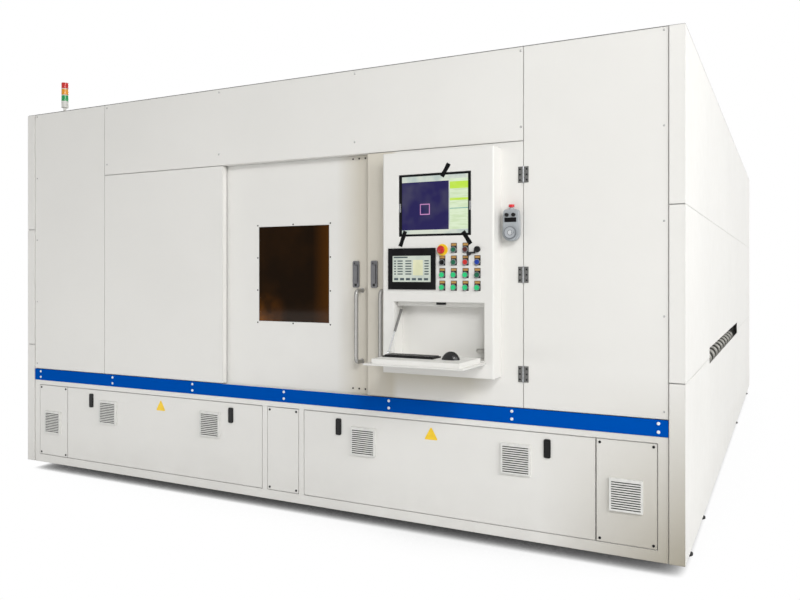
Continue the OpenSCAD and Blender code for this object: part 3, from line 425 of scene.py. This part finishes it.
def amber_acrylic(name):
    """Laser-safe acrylic, dark amber, that lets a little of the inside through. The lighter right edge and
    lower left corner that the photograph shows are painted light: fixed lighter tints."""
    sheet = Surface(name, srgb(26, 13, 1), 0.06)
    sheet.set("Specular IOR Level", 0.0)
    sheet.set("Transmission Weight", 0.1)
    sheet.set("IOR", 1.49)
    clouds = sheet.noise(3.2, 3)
    sheet.tint(sheet.spread(clouds, 0.45, 0.75, 0.0, 1.0), srgb(44, 24, 2))
    # Painted light: a lighter amber tint along the right edge.
    sheet.tint(sheet.along("X", 0.17, 0.29), srgb(80, 44, 1))
    # Painted light: a lighter, patchy amber tint in the lower left corner.
    corner = sheet.times(sheet.along("X", 0.0, -0.2), sheet.along("Z", 1.25, 1.08))
    corner = sheet.times(corner, sheet.spread(sheet.noise(12, 2), 0.35, 0.6, 0.2, 1.0))
    sheet.tint(corner, srgb(126, 72, 8))
    sheet.bump(sheet.noise(6, 2), 0.05, 0.002)
    return sheet.material


def ringed_wheels(name, web, tyre, hub):
    """Conveyor wheels: web, tyre and hub, by the distance from the middle of the nearest shaft."""
    wheel = Surface(name, web, 0.55)
    from_first = wheel.math_with("ADD", wheel.part_of(wheel.coords, "X"), SHAFT_X * MM)
    across = wheel.math_with("PINGPONG", from_first, SHAFT_X * MM / (SHAFT_COUNT - 1))
    rise = wheel.math_with("SUBTRACT", wheel.part_of(wheel.coords, "Z"), SHAFT_Z * MM)
    spoke = wheel.tree.nodes.new("ShaderNodeCombineXYZ")
    wheel.link(across, spoke.inputs["X"])
    wheel.link(rise, spoke.inputs["Z"])
    radius = wheel.length_of(spoke.outputs[0])
    wheel.tint(wheel.spread(radius, TYRE_R, TYRE_R + RING_BLUR, 0, 1), tyre)
    wheel.tint(wheel.spread(radius, HUB_R, HUB_R - RING_BLUR, 0, 1), hub)
    wheel.bump(wheel.noise(700, 2), 0.25, 0.0002)
    return wheel.material


def dial_face(name, rim, face, hub):
    """The pendant's hand wheel: dark rim, paler face, ring of the hub, by the distance from its middle."""
    dial = Surface(name, rim, 0.35, 0.3)
    offset = dial.tree.nodes.new("ShaderNodeVectorMath")
    offset.operation = "SUBTRACT"
    offset.inputs[1].default_value = at(*middle("pendant_wheel"))
    dial.link(dial.coords, offset.inputs[0])
    flat = dial.tree.nodes.new("ShaderNodeVectorMath")
    flat.operation = "MULTIPLY"
    flat.inputs[1].default_value = (1, 0, 1)
    dial.link(offset.outputs[0], flat.inputs[0])
    radius = dial.length_of(flat.outputs[0])
    for edge, colour in ((DIAL_FACE_R, face), (DIAL_RING_R, rim), (DIAL_HUB_R, hub)):
        dial.tint(dial.spread(radius, edge, edge - RING_BLUR, 0, 1), colour)
    dial.bump(dial.noise(1200, 2), 0.15, 0.0001)
    return dial.material


def rubber(name, colour, shine=0.5):
    """Dull rubber, sealant or tape, with paler clouding."""
    skin = Surface(name, colour, 0.8)
    skin.set("Specular IOR Level", shine)
    skin.tint(skin.spread(skin.noise(45, 5), 0.4, 0.7, 0.0, 1.0), shade(colour, 1.7))
    skin.bump(skin.noise(900, 3), 0.3, 0.0003)
    return skin.material


def lit_field(name, colour, other, strength=0.75, scale=14, stretch=(1, 1, 1)):
    """A lit field of a screen. Its soft clouding stands for reflections in the glass."""
    field = Surface(name, shade(colour, 0.12), 0.22)
    field.set("Specular IOR Level", 0.15)
    field.set("Emission Strength", strength)
    mix = field.tree.nodes.new("ShaderNodeMix")
    mix.data_type = "RGBA"
    mix.inputs["A"].default_value = colour
    mix.inputs["B"].default_value = other
    clouds = field.spread(field.noise(scale, 2, stretch), 0.42, 0.62, 0.0, 1.0)
    field.link(clouds, mix.inputs["Factor"])
    field.link(mix.outputs["Result"], field.shader.inputs["Emission Color"])
    return field.material


WHITE = srgb(232, 231, 227)
white_paint = powder_coat("white_paint_mat", WHITE)
door_paint = powder_coat("door_paint_mat", WHITE, console_shade=True)
frame_paint = powder_coat("frame_paint_mat", srgb(214, 214, 210))
blue_paint = powder_coat("blue_paint_mat", srgb(0, 80, 178), 0.0, 0.0)
grille_plastic = moulded("grille_plastic_mat", srgb(226, 226, 222), 0.5, 900)
black_plastic = moulded("black_plastic_mat", srgb(15, 15, 16), 0.4, gloss=0.25)
slot_shade = moulded("slot_shade_mat", srgb(70, 72, 70), 0.7, 900)
zinc = cast_metal("zinc_mat", srgb(176, 178, 180), 0.38)
leaf_metal = cast_metal("leaf_metal_mat", srgb(118, 118, 116), 0.5, 260)
lock_metal = satin("lock_metal_mat", srgb(104, 104, 106), 0.36)
handle_steel = satin("handle_steel_mat", srgb(172, 171, 168), 0.36, 0.55, dark_side_reflection=srgb(84, 83, 80))
strut_grey = satin("strut_grey_mat", srgb(122, 122, 120), 0.34)
dial_grey = dial_face("dial_grey_mat", srgb(118, 122, 126), srgb(176, 180, 184), srgb(206, 208, 210))
mouse_black = moulded("mouse_black_mat", srgb(9, 9, 10), 0.22, gloss=0.4)
stainless = brushed("stainless_mat", srgb(205, 206, 208), (1, 1, 0.02), 0.28)
chrome = brushed("chrome_mat", srgb(216, 217, 219), (0.05, 1, 1), 0.14)
dark_metal = cast_metal("dark_metal_mat", srgb(74, 76, 79), 0.45)
wheel_rings = ringed_wheels("wheel_rings_mat", srgb(96, 95, 90), srgb(236, 234, 226), srgb(196, 194, 188))
head_grey = powder_coat("head_grey_mat", srgb(96, 100, 106), 0.0)
amber_window = amber_acrylic("amber_window_mat")
screen_black = gloss_black("screen_black_mat")
pendant_grey = moulded("pendant_grey_mat", srgb(168, 173, 177), 0.38)
rubber_black = rubber("rubber_black_mat", srgb(26, 26, 26))
lens_red = lens("lens_red_mat", srgb(214, 40, 34))
lens_amber = lens("lens_amber_mat", srgb(240, 160, 30))
lens_green = lens("lens_green_mat", srgb(20, 160, 84))
lit_green = lens("lit_green_mat", srgb(26, 186, 112), 0.3)
dark_green = lens("dark_green_mat", srgb(14, 104, 72))
dark_red = lens("dark_red_mat", srgb(84, 20, 14))
lens_blue = lens("lens_blue_mat", srgb(8, 60, 168))
stop_red = moulded("stop_red_mat", srgb(190, 16, 18), 0.3)
pendant_red = moulded("pendant_red_mat", srgb(214, 30, 42), 0.3)
safety_yellow = moulded("safety_yellow_mat", srgb(252, 210, 36), 0.4)
label_amber = moulded("label_amber_mat", srgb(180, 136, 70), 0.5)
beacon_pale = moulded("beacon_pale_mat", srgb(214, 214, 208), 0.45)
seat_metal = cast_metal("seat_metal_mat", srgb(150, 152, 154), 0.3)
screw_white = moulded("screw_white_mat", srgb(236, 238, 240), 0.35)
screw_pale = cast_metal("screw_pale_mat", srgb(196, 196, 194), 0.42)
screw_black = cast_metal("screw_black_mat", srgb(44, 44, 46), 0.5)
tape_black = rubber("tape_black_mat", srgb(7, 7, 8), 0.12)
seal_grey = rubber("seal_grey_mat", srgb(128, 128, 126))
# Pale fill for the level seams of the side walls: painted light that makes the seams read faint.
seam_light_fill = rubber("seal_pale_mat", srgb(206, 206, 202))

NODE_FINISH = {
    "levelling_feet": rubber_black,
    "frame": frame_paint,
    "roof_and_rear_panels": white_paint,
    "side_panels": white_paint,
    "front_panels": white_paint,
    "accent_strip": blue_paint,
    "base_front_frame": white_paint,
    "base_covers": white_paint,
    "cover_latches": black_plastic,
    "beacon_base": beacon_pale,
    "door_track": stainless,
    "machine_bed": head_grey,
    "conveyor_frame": dark_metal,
    "conveyor_shafts": wheel_rings,
    "gantry_beam": frame_paint,
    "head_carriage": dark_metal,
    "scan_head": head_grey,
    "sliding_door": door_paint,
    "window_pane": amber_window,
    "sliding_door_handle": handle_steel,
    "sliding_lock_lever": lock_metal,
    "hinged_door": door_paint,
    "hinged_door_handle": handle_steel,
    "hinged_lock_lever": lock_metal,
    "monitor": screen_black,
    "touch_panel": screen_black,
    "emergency_stop": stop_red,
    "mode_selector": black_plastic,
    "service_port": rubber_black,
    "button_green_1": dark_green,
    "button_red_1": dark_red,
    "button_green_2": dark_green,
    "button_red_2": lens_red,
    "button_blue": lens_blue,
    "button_teal": dark_green,
    "keyboard_tray": white_paint,
    "keyboard": black_plastic,
    "mouse": mouse_black,
    "strut_tube": strut_grey,
    "strut_rod": chrome,
    "pendant_wheel": dial_grey,
    "pendant_stop": pendant_red,
}
for number in range(1, 8):
    NODE_FINISH[f"button_lit_{number}"] = lit_green


def paint(node, *finishes, pick=None):
    """Gives a CAD node its finishes; pick(middle of a face in mm, normal) says which one a face takes."""
    mesh = nodes[node].data
    mesh.materials.clear()
    for finish in finishes:
        mesh.materials.append(finish)
    for face in mesh.polygons:
        face.material_index = pick(local(face.center), face.normal) if pick else 0


for node, finish in NODE_FINISH.items():
    paint(node, finish)


# CAD nodes of two finishes

BUTTON_X, BUTTON_Z, BUTTON_PITCH = 1040, 1474, 62
LABEL_FRONT = -107.5
HINGE_X = 1423
HINGE_Z = (867, 1350, 1837)
HINGE_LEAF_FRONT = -3
STOP_COLLAR_R = 30
CATCH_X, CATCH_Y, CATCH_Z = (990, 1050), (-81, -72.5), (1199, 1213)
KNOB_FRONT, KNOB_TOP = -46.5, 1660


def button_place(column, row):
    """Middle of a control on the panel, counted from the emergency stop at the upper left."""
    return BUTTON_X + column * BUTTON_PITCH, BUTTON_Z - row * BUTTON_PITCH


def bezel_finish(point, normal):
    """Yellow for the collar of the emergency stop, silver for a ring, black for a label plate."""
    stop_x, stop_z = button_place(0, 0)
    if math.hypot(point.x - stop_x, point.z - stop_z) < STOP_COLLAR_R:
        return 2
    return 1 if point.y < LABEL_FRONT else 0


def lamp_finish(node):
    """A lamp's drum is its lens; the ring on its upper end is pale."""
    top = local(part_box(node)[1]).z
    ring_h = 7
    return lambda point, normal: 1 if point.z > top - ring_h else 0


def slot_finish(point, normal):
    """The sloping walls of a louvre slot are dark, as a fixed tone for the shade in them."""
    return 1 if 0.9 < abs(normal.z) < 0.98 else 0


def hinge_finish(point, normal):
    """The barrel of a hinge is paler than its leaves."""
    barrel_r = 4.5
    return 1 if abs(point.x - HINGE_X) < barrel_r else 0


def lock_finish(node):
    """The key barrel at the foot of a lock is black."""
    low = local(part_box(node)[0])
    barrel_h, barrel_depth = 22, 1.5
    return lambda point, normal: 1 if point.z < low.z + barrel_h and point.y < low.y + barrel_depth else 0


def housing_finish(point, normal):
    """The catch under the top of the console's recess is dark."""
    spans = ((CATCH_X, point.x), (CATCH_Y, point.y), (CATCH_Z, point.z))
    return 1 if all(low < value < high for (low, high), value in spans) else 0


def knob_finish(point, normal):
    """The pendant's two knobs stand out from its face."""
    return 1 if point.y < KNOB_FRONT and point.z < KNOB_TOP else 0


paint("button_bezels", black_plastic, seat_metal, safety_yellow, pick=bezel_finish)
for node, colour in (("beacon_red", lens_red), ("beacon_amber", lens_amber), ("beacon_green", lens_green)):
    paint(node, colour, beacon_pale, pick=lamp_finish(node))
paint("pendant", pendant_grey, black_plastic, pick=knob_finish)
paint("louvre_grilles", grille_plastic, slot_shade, pick=slot_finish)
for node in ("hinge_frame_leaves", "hinge_door_leaves"):
    paint(node, leaf_metal, zinc, pick=hinge_finish)
for node in ("sliding_door_lock", "hinged_door_lock"):
    paint(node, lock_metal, black_plastic, pick=lock_finish(node))
paint("console_housing", white_paint, black_plastic, pick=housing_finish)


# Dressing


def add_piece(name, mesh, body, *finishes, slot=None):
    """Links a new piece, gives it its finishes and lets it ride on a CAD body."""
    for finish in finishes:
        mesh.materials.append(finish)
    piece = bpy.data.objects.new(name, mesh)
    bpy.context.scene.collection.objects.link(piece)
    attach(piece, body)
    return piece


def mesh_of(work, name):
    """The finished mesh of a bmesh."""
    mesh = bpy.data.meshes.new(name)
    work.to_mesh(mesh)
    work.free()
    return mesh


def facing(normal):
    """Turns +Z to the direction normal."""
    return normal.to_track_quat("Z", "Y").to_matrix().to_4x4()


SCREW_PROFILE = [(1.0, 0.0), (1.0, 0.18), (0.86, 0.42), (0.58, 0.56), (0.42, 0.58)]
SCREW_SIDES = 14
SCREW_DISH = 0.2


def add_screw_head(work, place, normal, radius):
    """A low round head with a dished recess; its profile is in shares of the radius."""
    turn = Matrix.Translation(place) @ facing(normal)
    rings = []
    for share, height in SCREW_PROFILE:
        ring = []
        for i in range(SCREW_SIDES):
            angle = 2 * math.pi * i / SCREW_SIDES
            spot = Vector((share * math.cos(angle), share * math.sin(angle), height)) * radius
            ring.append(work.verts.new(turn @ spot))
        rings.append(ring)
    for lower, upper in zip(rings, rings[1:]):
        for i in range(SCREW_SIDES):
            j = (i + 1) % SCREW_SIDES
            work.faces.new((lower[i], lower[j], upper[j], upper[i]))
    floor = work.verts.new(turn @ Vector((0, 0, SCREW_DISH * radius)))
    socket = rings[-1]
    for i in range(SCREW_SIDES):
        work.faces.new((socket[i], socket[(i + 1) % SCREW_SIDES], floor))


def add_screws(name, body, places, normal, radius, finish):
    """One piece with a screw head at each place, in millimetres from the front plane."""
    work = bmesh.new()
    for place in places:
        add_screw_head(work, at(*place), normal, radius * MM)
    mesh = mesh_of(work, name)
    for face in mesh.polygons:
        face.use_smooth = len(face.vertices) == 4
    add_piece(name, mesh, body, finish)


def mirrored(places):
    """The places, and the same ones on the other side of the machine."""
    return places + [(-x, y, z) for x, y, z in places]


STRIP_FRONT = -3
STRIP_COLUMNS = (-2035, -1346, -670, 9, 685, 1365, 2051)
STRIP_ROWS = (683, 645)
FASCIA_COLUMNS, FASCIA_ROWS = (-1400, -465, 475, 1410), (2440, 2070)
END_SCREW_X = 2075
END_SCREW_Z = (2445, 2018, 1591, 1164, 737)
add_screws(
    "strip_screws", "machine",
    [(x, STRIP_FRONT, z) for x in STRIP_COLUMNS for z in STRIP_ROWS],
    TO_FRONT, 8, screw_white,
)
add_screws(
    "fascia_screws", "machine",
    [(x, 0, z) for x in FASCIA_COLUMNS for z in FASCIA_ROWS],
    TO_FRONT, 6, screw_pale,
)
add_screws(
    "end_panel_screws", "machine",
    mirrored([(END_SCREW_X, 0, z) for z in END_SCREW_Z]),
    TO_FRONT, 5, screw_pale,
)

COVER_BOTTOM, COVER_TOP = 115, 590
COVER_INSET = 15
MIDDLE_COVER_W = 213
END_COVER_X, END_COVER_W = 1910, 270


def cover_corners(x, width):
    """The four screws of a cover with its middle at x."""
    half = width / 2 - COVER_INSET
    heights = (COVER_BOTTOM + COVER_INSET, COVER_TOP - COVER_INSET)
    return [(x + s * half, 0, z) for s in (-1, 1) for z in heights]


add_screws(
    "cover_screws", "machine",
    cover_corners(0, MIDDLE_COVER_W) + mirrored(cover_corners(END_COVER_X, END_COVER_W)),
    TO_FRONT, 6.5, screw_black,
)

REAR_FACE = 6250
SEAM_LOW, SEAM_HIGH = 867, 1663.5
REAR_TIERS = ((60, SEAM_LOW), (SEAM_LOW, SEAM_HIGH), (SEAM_HIGH, 2460))
REAR_SCREW_X = (-2055, -1233, -411, 411, 1233, 2055)
REAR_SCREW_EDGE = 40
add_screws(
    "rear_panel_screws", "machine",
    [
        (x, REAR_FACE, z)
        for low, high in REAR_TIERS
        for z in (low + REAR_SCREW_EDGE, high - REAR_SCREW_EDGE)
        for x in REAR_SCREW_X
    ],
    TO_BACK, 6, screw_pale,
)

DOOR_FRONT = 46
WINDOW_X, WINDOW_Z = 39, 1355
WINDOW_W, WINDOW_H = 485, 550
SCREW_EDGE = 9


def window_screws():
    """Three screws along the top and the bottom, two between the corners on each side."""
    half_w = WINDOW_W / 2 + SCREW_EDGE
    half_h = WINDOW_H / 2 + SCREW_EDGE
    rows = [(WINDOW_X + s * half_w, DOOR_FRONT, WINDOW_Z + t * half_h) for s in (-1, 0, 1) for t in (-1, 1)]
    sides = [(WINDOW_X + s * half_w, DOOR_FRONT, WINDOW_Z + t * half_h / 3) for s in (-1, 1) for t in (-1, 1)]
    return rows + sides


add_screws("window_screws", "slide_door", window_screws(), TO_FRONT, 4.5, screw_black)

GUIDE_SCREW_X = (437, 476, 515)
GUIDE_SCREW_Z = (727, 1986)
add_screws(
    "guide_screws", "slide_door",
    [(x, DOOR_FRONT, z) for x in GUIDE_SCREW_X for z in GUIDE_SCREW_Z],
    TO_FRONT, 5, screw_black,
)


HINGE_SCREW_OFFSET, HINGE_SCREW_STEP = 17, 26


def hinge_screws(side):
    """Three screws in each leaf on one side of the hinge line."""
    x = HINGE_X + side * HINGE_SCREW_OFFSET
    return [(x, HINGE_LEAF_FRONT, z + s * HINGE_SCREW_STEP) for z in HINGE_Z for s in (-1, 0, 1)]


add_screws("frame_leaf_screws", "machine", hinge_screws(1), TO_FRONT, 4.5, screw_black)
add_screws("door_leaf_screws", "console_door", hinge_screws(-1), TO_FRONT, 4.5, screw_black)


def add_fields(name, body, x, z, y, width, height, fields, finishes):
    """A flat screen cut into fields. Each field is (left, bottom, right, top, finish) as shares of the
    screen; a later field lies over an earlier one."""
    cuts_x = sorted({edge for field in fields for edge in (field[0], field[2])})
    cuts_z = sorted({edge for field in fields for edge in (field[1], field[3])})
    work = bmesh.new()
    grid = [
        [work.verts.new(at(x + (u - 0.5) * width, y, z + (v - 0.5) * height)) for v in cuts_z] for u in cuts_x
    ]
    for i in range(len(cuts_x) - 1):
        for j in range(len(cuts_z) - 1):
            u = (cuts_x[i] + cuts_x[i + 1]) / 2
            v = (cuts_z[j] + cuts_z[j + 1]) / 2
            over = [f[4] for f in fields if f[0] < u < f[2] and f[1] < v < f[3]]
            face = work.faces.new((grid[i][j], grid[i + 1][j], grid[i + 1][j + 1], grid[i][j + 1]))
            face.material_index = over[-1]
    add_piece(name, mesh_of(work, name), body, *finishes, slot="screen_black")


MONITOR_X, MONITOR_Z = 994, 1701
MONITOR_FACE = -102
MONITOR_SCREEN = (362, 291)
SCREEN_SINK = 1.7
PALE, NAVY, CREAM, LIME, TEAL, LILAC = range(6)
monitor_finishes = (
    lit_field("screen_pale_mat", srgb(222, 228, 214), srgb(190, 204, 200), 0.8),
    lit_field("screen_navy_mat", srgb(34, 28, 86), srgb(66, 64, 94), 0.8, 8),
    lit_field("screen_cream_mat", srgb(228, 244, 212), srgb(210, 230, 188), 0.8, 40, (0.3, 1, 2.5)),
    lit_field("screen_lime_mat", srgb(198, 236, 78), srgb(212, 240, 120), 0.8),
    lit_field("screen_teal_mat", srgb(40, 150, 160), srgb(60, 160, 170), 0.8),
    lit_field("screen_lilac_mat", srgb(214, 150, 206), srgb(200, 140, 196), 0.8),
)
MARK_LEFT, MARK_RIGHT, MARK_LOW, MARK_HIGH = 0.28, 0.43, 0.33, 0.52
MARK_LINE, MARK_BAR = 0.012, 0.016
monitor_fields = [
    (0.0, 0.0, 1.0, 1.0, PALE),
    (0.0, 0.07, 0.715, 0.9, NAVY),
    (0.73, 0.07, 1.0, 0.93, CREAM),
    (0.73, 0.76, 1.0, 0.88, LIME),
    (0.73, 0.56, 1.0, 0.60, LIME),
    (0.73, 0.42, 1.0, 0.43, TEAL),
    (MARK_LEFT, MARK_LOW, MARK_RIGHT, MARK_HIGH, LILAC),
    (MARK_LEFT + MARK_LINE, MARK_LOW + MARK_BAR, MARK_RIGHT - MARK_LINE, MARK_HIGH - MARK_BAR, NAVY),
]
add_fields(
    "monitor_screen", "console_door", MONITOR_X, MONITOR_Z, MONITOR_FACE + SCREEN_SINK,
    *MONITOR_SCREEN, monitor_fields, monitor_finishes,
)

TOUCH_X, TOUCH_Z = 871, 1380
TOUCH_FACE = -112
TOUCH_SCREEN = (214, 132)
GROUND, ROW, CELL, FOOT = range(4)
touch_finishes = (
    lit_field("panel_ground_mat", srgb(212, 220, 208), srgb(196, 206, 196), 0.8),
    lit_field("panel_row_mat", srgb(82, 96, 98), srgb(70, 84, 88), 0.7),
    lit_field("panel_cell_mat", srgb(232, 232, 196), srgb(220, 222, 184), 0.8),
    lit_field("panel_foot_mat", srgb(74, 88, 92), srgb(100, 114, 118), 0.7),
)
TABLE_ROWS, FOOT_BARS = 6, 6
TABLE_COLUMNS = ((0.04, 0.09), (0.13, 0.27), (0.34, 0.5), (0.84, 0.95))


def table_fields():
    """A generic table: a head line, six rows of four short bars, a pale block and six bars at the foot."""
    fields = [(0.0, 0.0, 1.0, 1.0, GROUND), (0.03, 0.92, 0.4, 0.97, ROW), (0.54, 0.25, 0.8, 0.84, CELL)]
    for i in range(TABLE_ROWS):
        low = 0.28 + 0.1 * i
        for left, right in TABLE_COLUMNS:
            fields.append((left, low, right, low + 0.045, ROW))
    for i in range(FOOT_BARS):
        fields.append((0.04 + 0.157 * i, 0.06, 0.15 + 0.157 * i, 0.15, FOOT))
    return fields


add_fields(
    "touch_screen", "console_door", TOUCH_X, TOUCH_Z, TOUCH_FACE + SCREEN_SINK,
    *TOUCH_SCREEN, table_fields(), touch_finishes,
)


TAPE_FACE = -105.2
TAPE_W, TAPE_T, TAPE_LIFT = 22, 0.4, 2


def add_strip(work, start, end):
    """A strip of tape from start to end (x, z in mm), stuck over the edge of a bezel, its far end lifting."""
    along = Vector((end[0] - start[0], end[1] - start[1]))
    length = along.length
    along /= length
    side = Vector((-along.y, along.x)) * TAPE_W / 2
    steps = 8
    rows = []
    for i in range(steps + 1):
        share = i / steps
        spot = Vector(start) + along * length * share
        rise = TAPE_FACE - TAPE_T - TAPE_LIFT * max(0.0, share - 0.75) ** 2 * 16
        ragged = 1 + 0.06 * math.sin(9 * share + start[0])
        edges = [spot + s * side * ragged for s in (-1, 1)]
        rows.append([work.verts.new(at(edge.x, rise, edge.y)) for edge in edges])
    for first, second in zip(rows, rows[1:]):
        work.faces.new((first[0], first[1], second[1], second[0]))


def add_tapes():
    """Three strips of tape over the edge of the monitor's bezel."""
    work = bmesh.new()
    add_strip(work, (1037, 1838), (1075, 1900))
    add_strip(work, (834, 1572), (806, 1495))
    add_strip(work, (1150, 1563), (1190, 1500))
    bmesh.ops.recalc_face_normals(work, faces=work.faces)
    mesh = mesh_of(work, "monitor_tapes")
    piece = add_piece("monitor_tapes", mesh, "console_door", tape_black, slot="rubber_black")
    solid = piece.modifiers.new("thickness", "SOLIDIFY")
    solid.thickness = TAPE_T * MM


add_tapes()


def soften(piece, width):
    """Bevels the edges of a piece, by a width in mm."""
    edge = piece.modifiers.new("edge", "BEVEL")
    edge.width = width * MM
    edge.segments = 2


PLATE_BEVEL = 0.6


def add_plates(name, body, outlines, y, thickness, finish):
    """Flat plates whose outlines are lists of (x, z) in mm; their backs lie at y."""
    work = bmesh.new()
    for outline in outlines:
        face = work.faces.new([work.verts.new(at(x, y - thickness, z)) for x, z in outline])
        grown = bmesh.ops.extrude_face_region(work, geom=[face])
        back = [v for v in grown["geom"] if isinstance(v, bmesh.types.BMVert)]
        bmesh.ops.translate(work, verts=back, vec=(0, thickness * MM, 0))
    bmesh.ops.recalc_face_normals(work, faces=work.faces)
    piece = add_piece(name, mesh_of(work, name), body, finish)
    soften(piece, min(PLATE_BEVEL, thickness * 0.4))


def rectangle(x, z, width, height):
    """The outline of an upright rectangle with its middle at x, z."""
    return [
        (x - width / 2, z - height / 2), (x + width / 2, z - height / 2),
        (x + width / 2, z + height / 2), (x - width / 2, z + height / 2),
    ]


def round_triangle(x, z, side, radius, steps=6):
    """An upright triangle on its base, with rounded corners."""
    tall = side * math.sqrt(3) / 2
    corners = [(x - side / 2, z), (x + side / 2, z), (x, z + tall)]
    points = []
    for (cx, cz), middle_angle in zip(corners, (210, 330, 90)):
        inward = math.radians(middle_angle + 180)
        ox, oz = cx + 2 * radius * math.cos(inward), cz + 2 * radius * math.sin(inward)
        for i in range(steps + 1):
            angle = math.radians(middle_angle - 60 + 120 * i / steps)
            points.append((ox + radius * math.cos(angle), oz + radius * math.sin(angle)))
    return points


YELLOW_X, YELLOW_Z = 930, 500
YELLOW_SIDE, YELLOW_R = 78, 5
add_plates(
    "yellow_plates", "machine",
    [round_triangle(x, YELLOW_Z, YELLOW_SIDE, YELLOW_R) for x in (-YELLOW_X, YELLOW_X)],
    0, 1.2, safety_yellow,
)

LABEL_UP = 25
LABEL_SIZE = (26, 11)
LABEL_BACK = -107
label_places = [
    button_place(column, row)
    for row in range(4) for column in range(4)
    if (column, row) not in ((0, 0), (3, 0))
]
add_plates(
    "label_inserts", "console_door",
    [rectangle(x, z + LABEL_UP, *LABEL_SIZE) for x, z in label_places],
    LABEL_BACK, 0.6, label_amber,
)

CLIP_X, CLIP_Z = (803, 1186), 1690
CLIP_SIZE = (10, 44)
add_plates(
    "monitor_clips", "console_door",
    [rectangle(x, CLIP_Z, *CLIP_SIZE) for x in CLIP_X],
    MONITOR_FACE, 1.5, seat_metal,
)

BAND_X, BAND_Z, BAND_BACK = 1372, 1616, -46
BAND_SIZE = (60, 22)
add_plates(
    "pendant_band", "console_door",
    [rectangle(BAND_X, BAND_Z, *BAND_SIZE)],
    BAND_BACK, 0.8, screen_black,
)


SIDE_X, SIDE_BACK = 2165, 6240
ROOF_SEAL_Z, ROOF_SEAL_EDGE = 2457, 1.5


def add_roof_seal():
    """A bead of sealant along the edge of the roof, as one closed ring."""
    width, height = 5, 6
    top = ROOF_SEAL_Z
    work = bmesh.new()
    rings = []
    for inset, z in ((0, top), (0, top + height), (width, top + height), (width, top)):
        places = [
            (inset - SIDE_X, inset, z), (SIDE_X - inset, inset, z),
            (SIDE_X - inset, REAR_FACE - inset, z), (inset - SIDE_X, REAR_FACE - inset, z),
        ]
        rings.append([work.verts.new(at(*place)) for place in places])
    for lower, upper in zip(rings, rings[1:] + rings[:1]):
        for i in range(4):
            j = (i + 1) % 4
            work.faces.new((lower[i], lower[j], upper[j], upper[i]))
    bmesh.ops.recalc_face_normals(work, faces=work.faces)
    mesh = mesh_of(work, "roof_seal")
    piece = add_piece("roof_seal", mesh, "machine", seal_grey, slot="rubber_black")
    soften(piece, ROOF_SEAL_EDGE)


add_roof_seal()

SIDE_FRONT = 4
SLOT_Y = (1161, 3806)
SEAM_FILL_LINES = (
    (SEAM_LOW, SIDE_FRONT, SLOT_Y[0]),
    (SEAM_LOW, SLOT_Y[1], SIDE_BACK),
    (SEAM_HIGH, SIDE_FRONT, SIDE_BACK),
)


def add_seam_light_fills():
    """Pale strips, a little below the surface, in the level seams of both side walls: painted light that
    makes the dark seams read faint.
    """
    sink, thickness, half_h = 0.7, 0.9, 1.3
    work = bmesh.new()
    for side in (-1, 1):
        for z, start, end in SEAM_FILL_LINES:
            outline = [(start, z - half_h), (end, z - half_h), (end, z + half_h), (start, z + half_h)]
            face_x, back_x = side * (SIDE_X - sink), side * (SIDE_X - sink - thickness)
            outer = [work.verts.new(at(face_x, y, h)) for y, h in outline]
            inner = [work.verts.new(at(back_x, y, h)) for y, h in outline]
            work.faces.new(outer)
            work.faces.new(inner)
            for i in range(4):
                j = (i + 1) % 4
                work.faces.new((outer[i], outer[j], inner[j], inner[i]))
    bmesh.ops.recalc_face_normals(work, faces=work.faces)
    add_piece("seam_light_fills", mesh_of(work, "seam_light_fills"), "machine", seam_light_fill, slot="rubber_black")


add_seam_light_fills()


# Size and hand-over


def corners(box):
    """A box as plain lists of numbers."""
    return [[float(value) for value in corner] for corner in box]
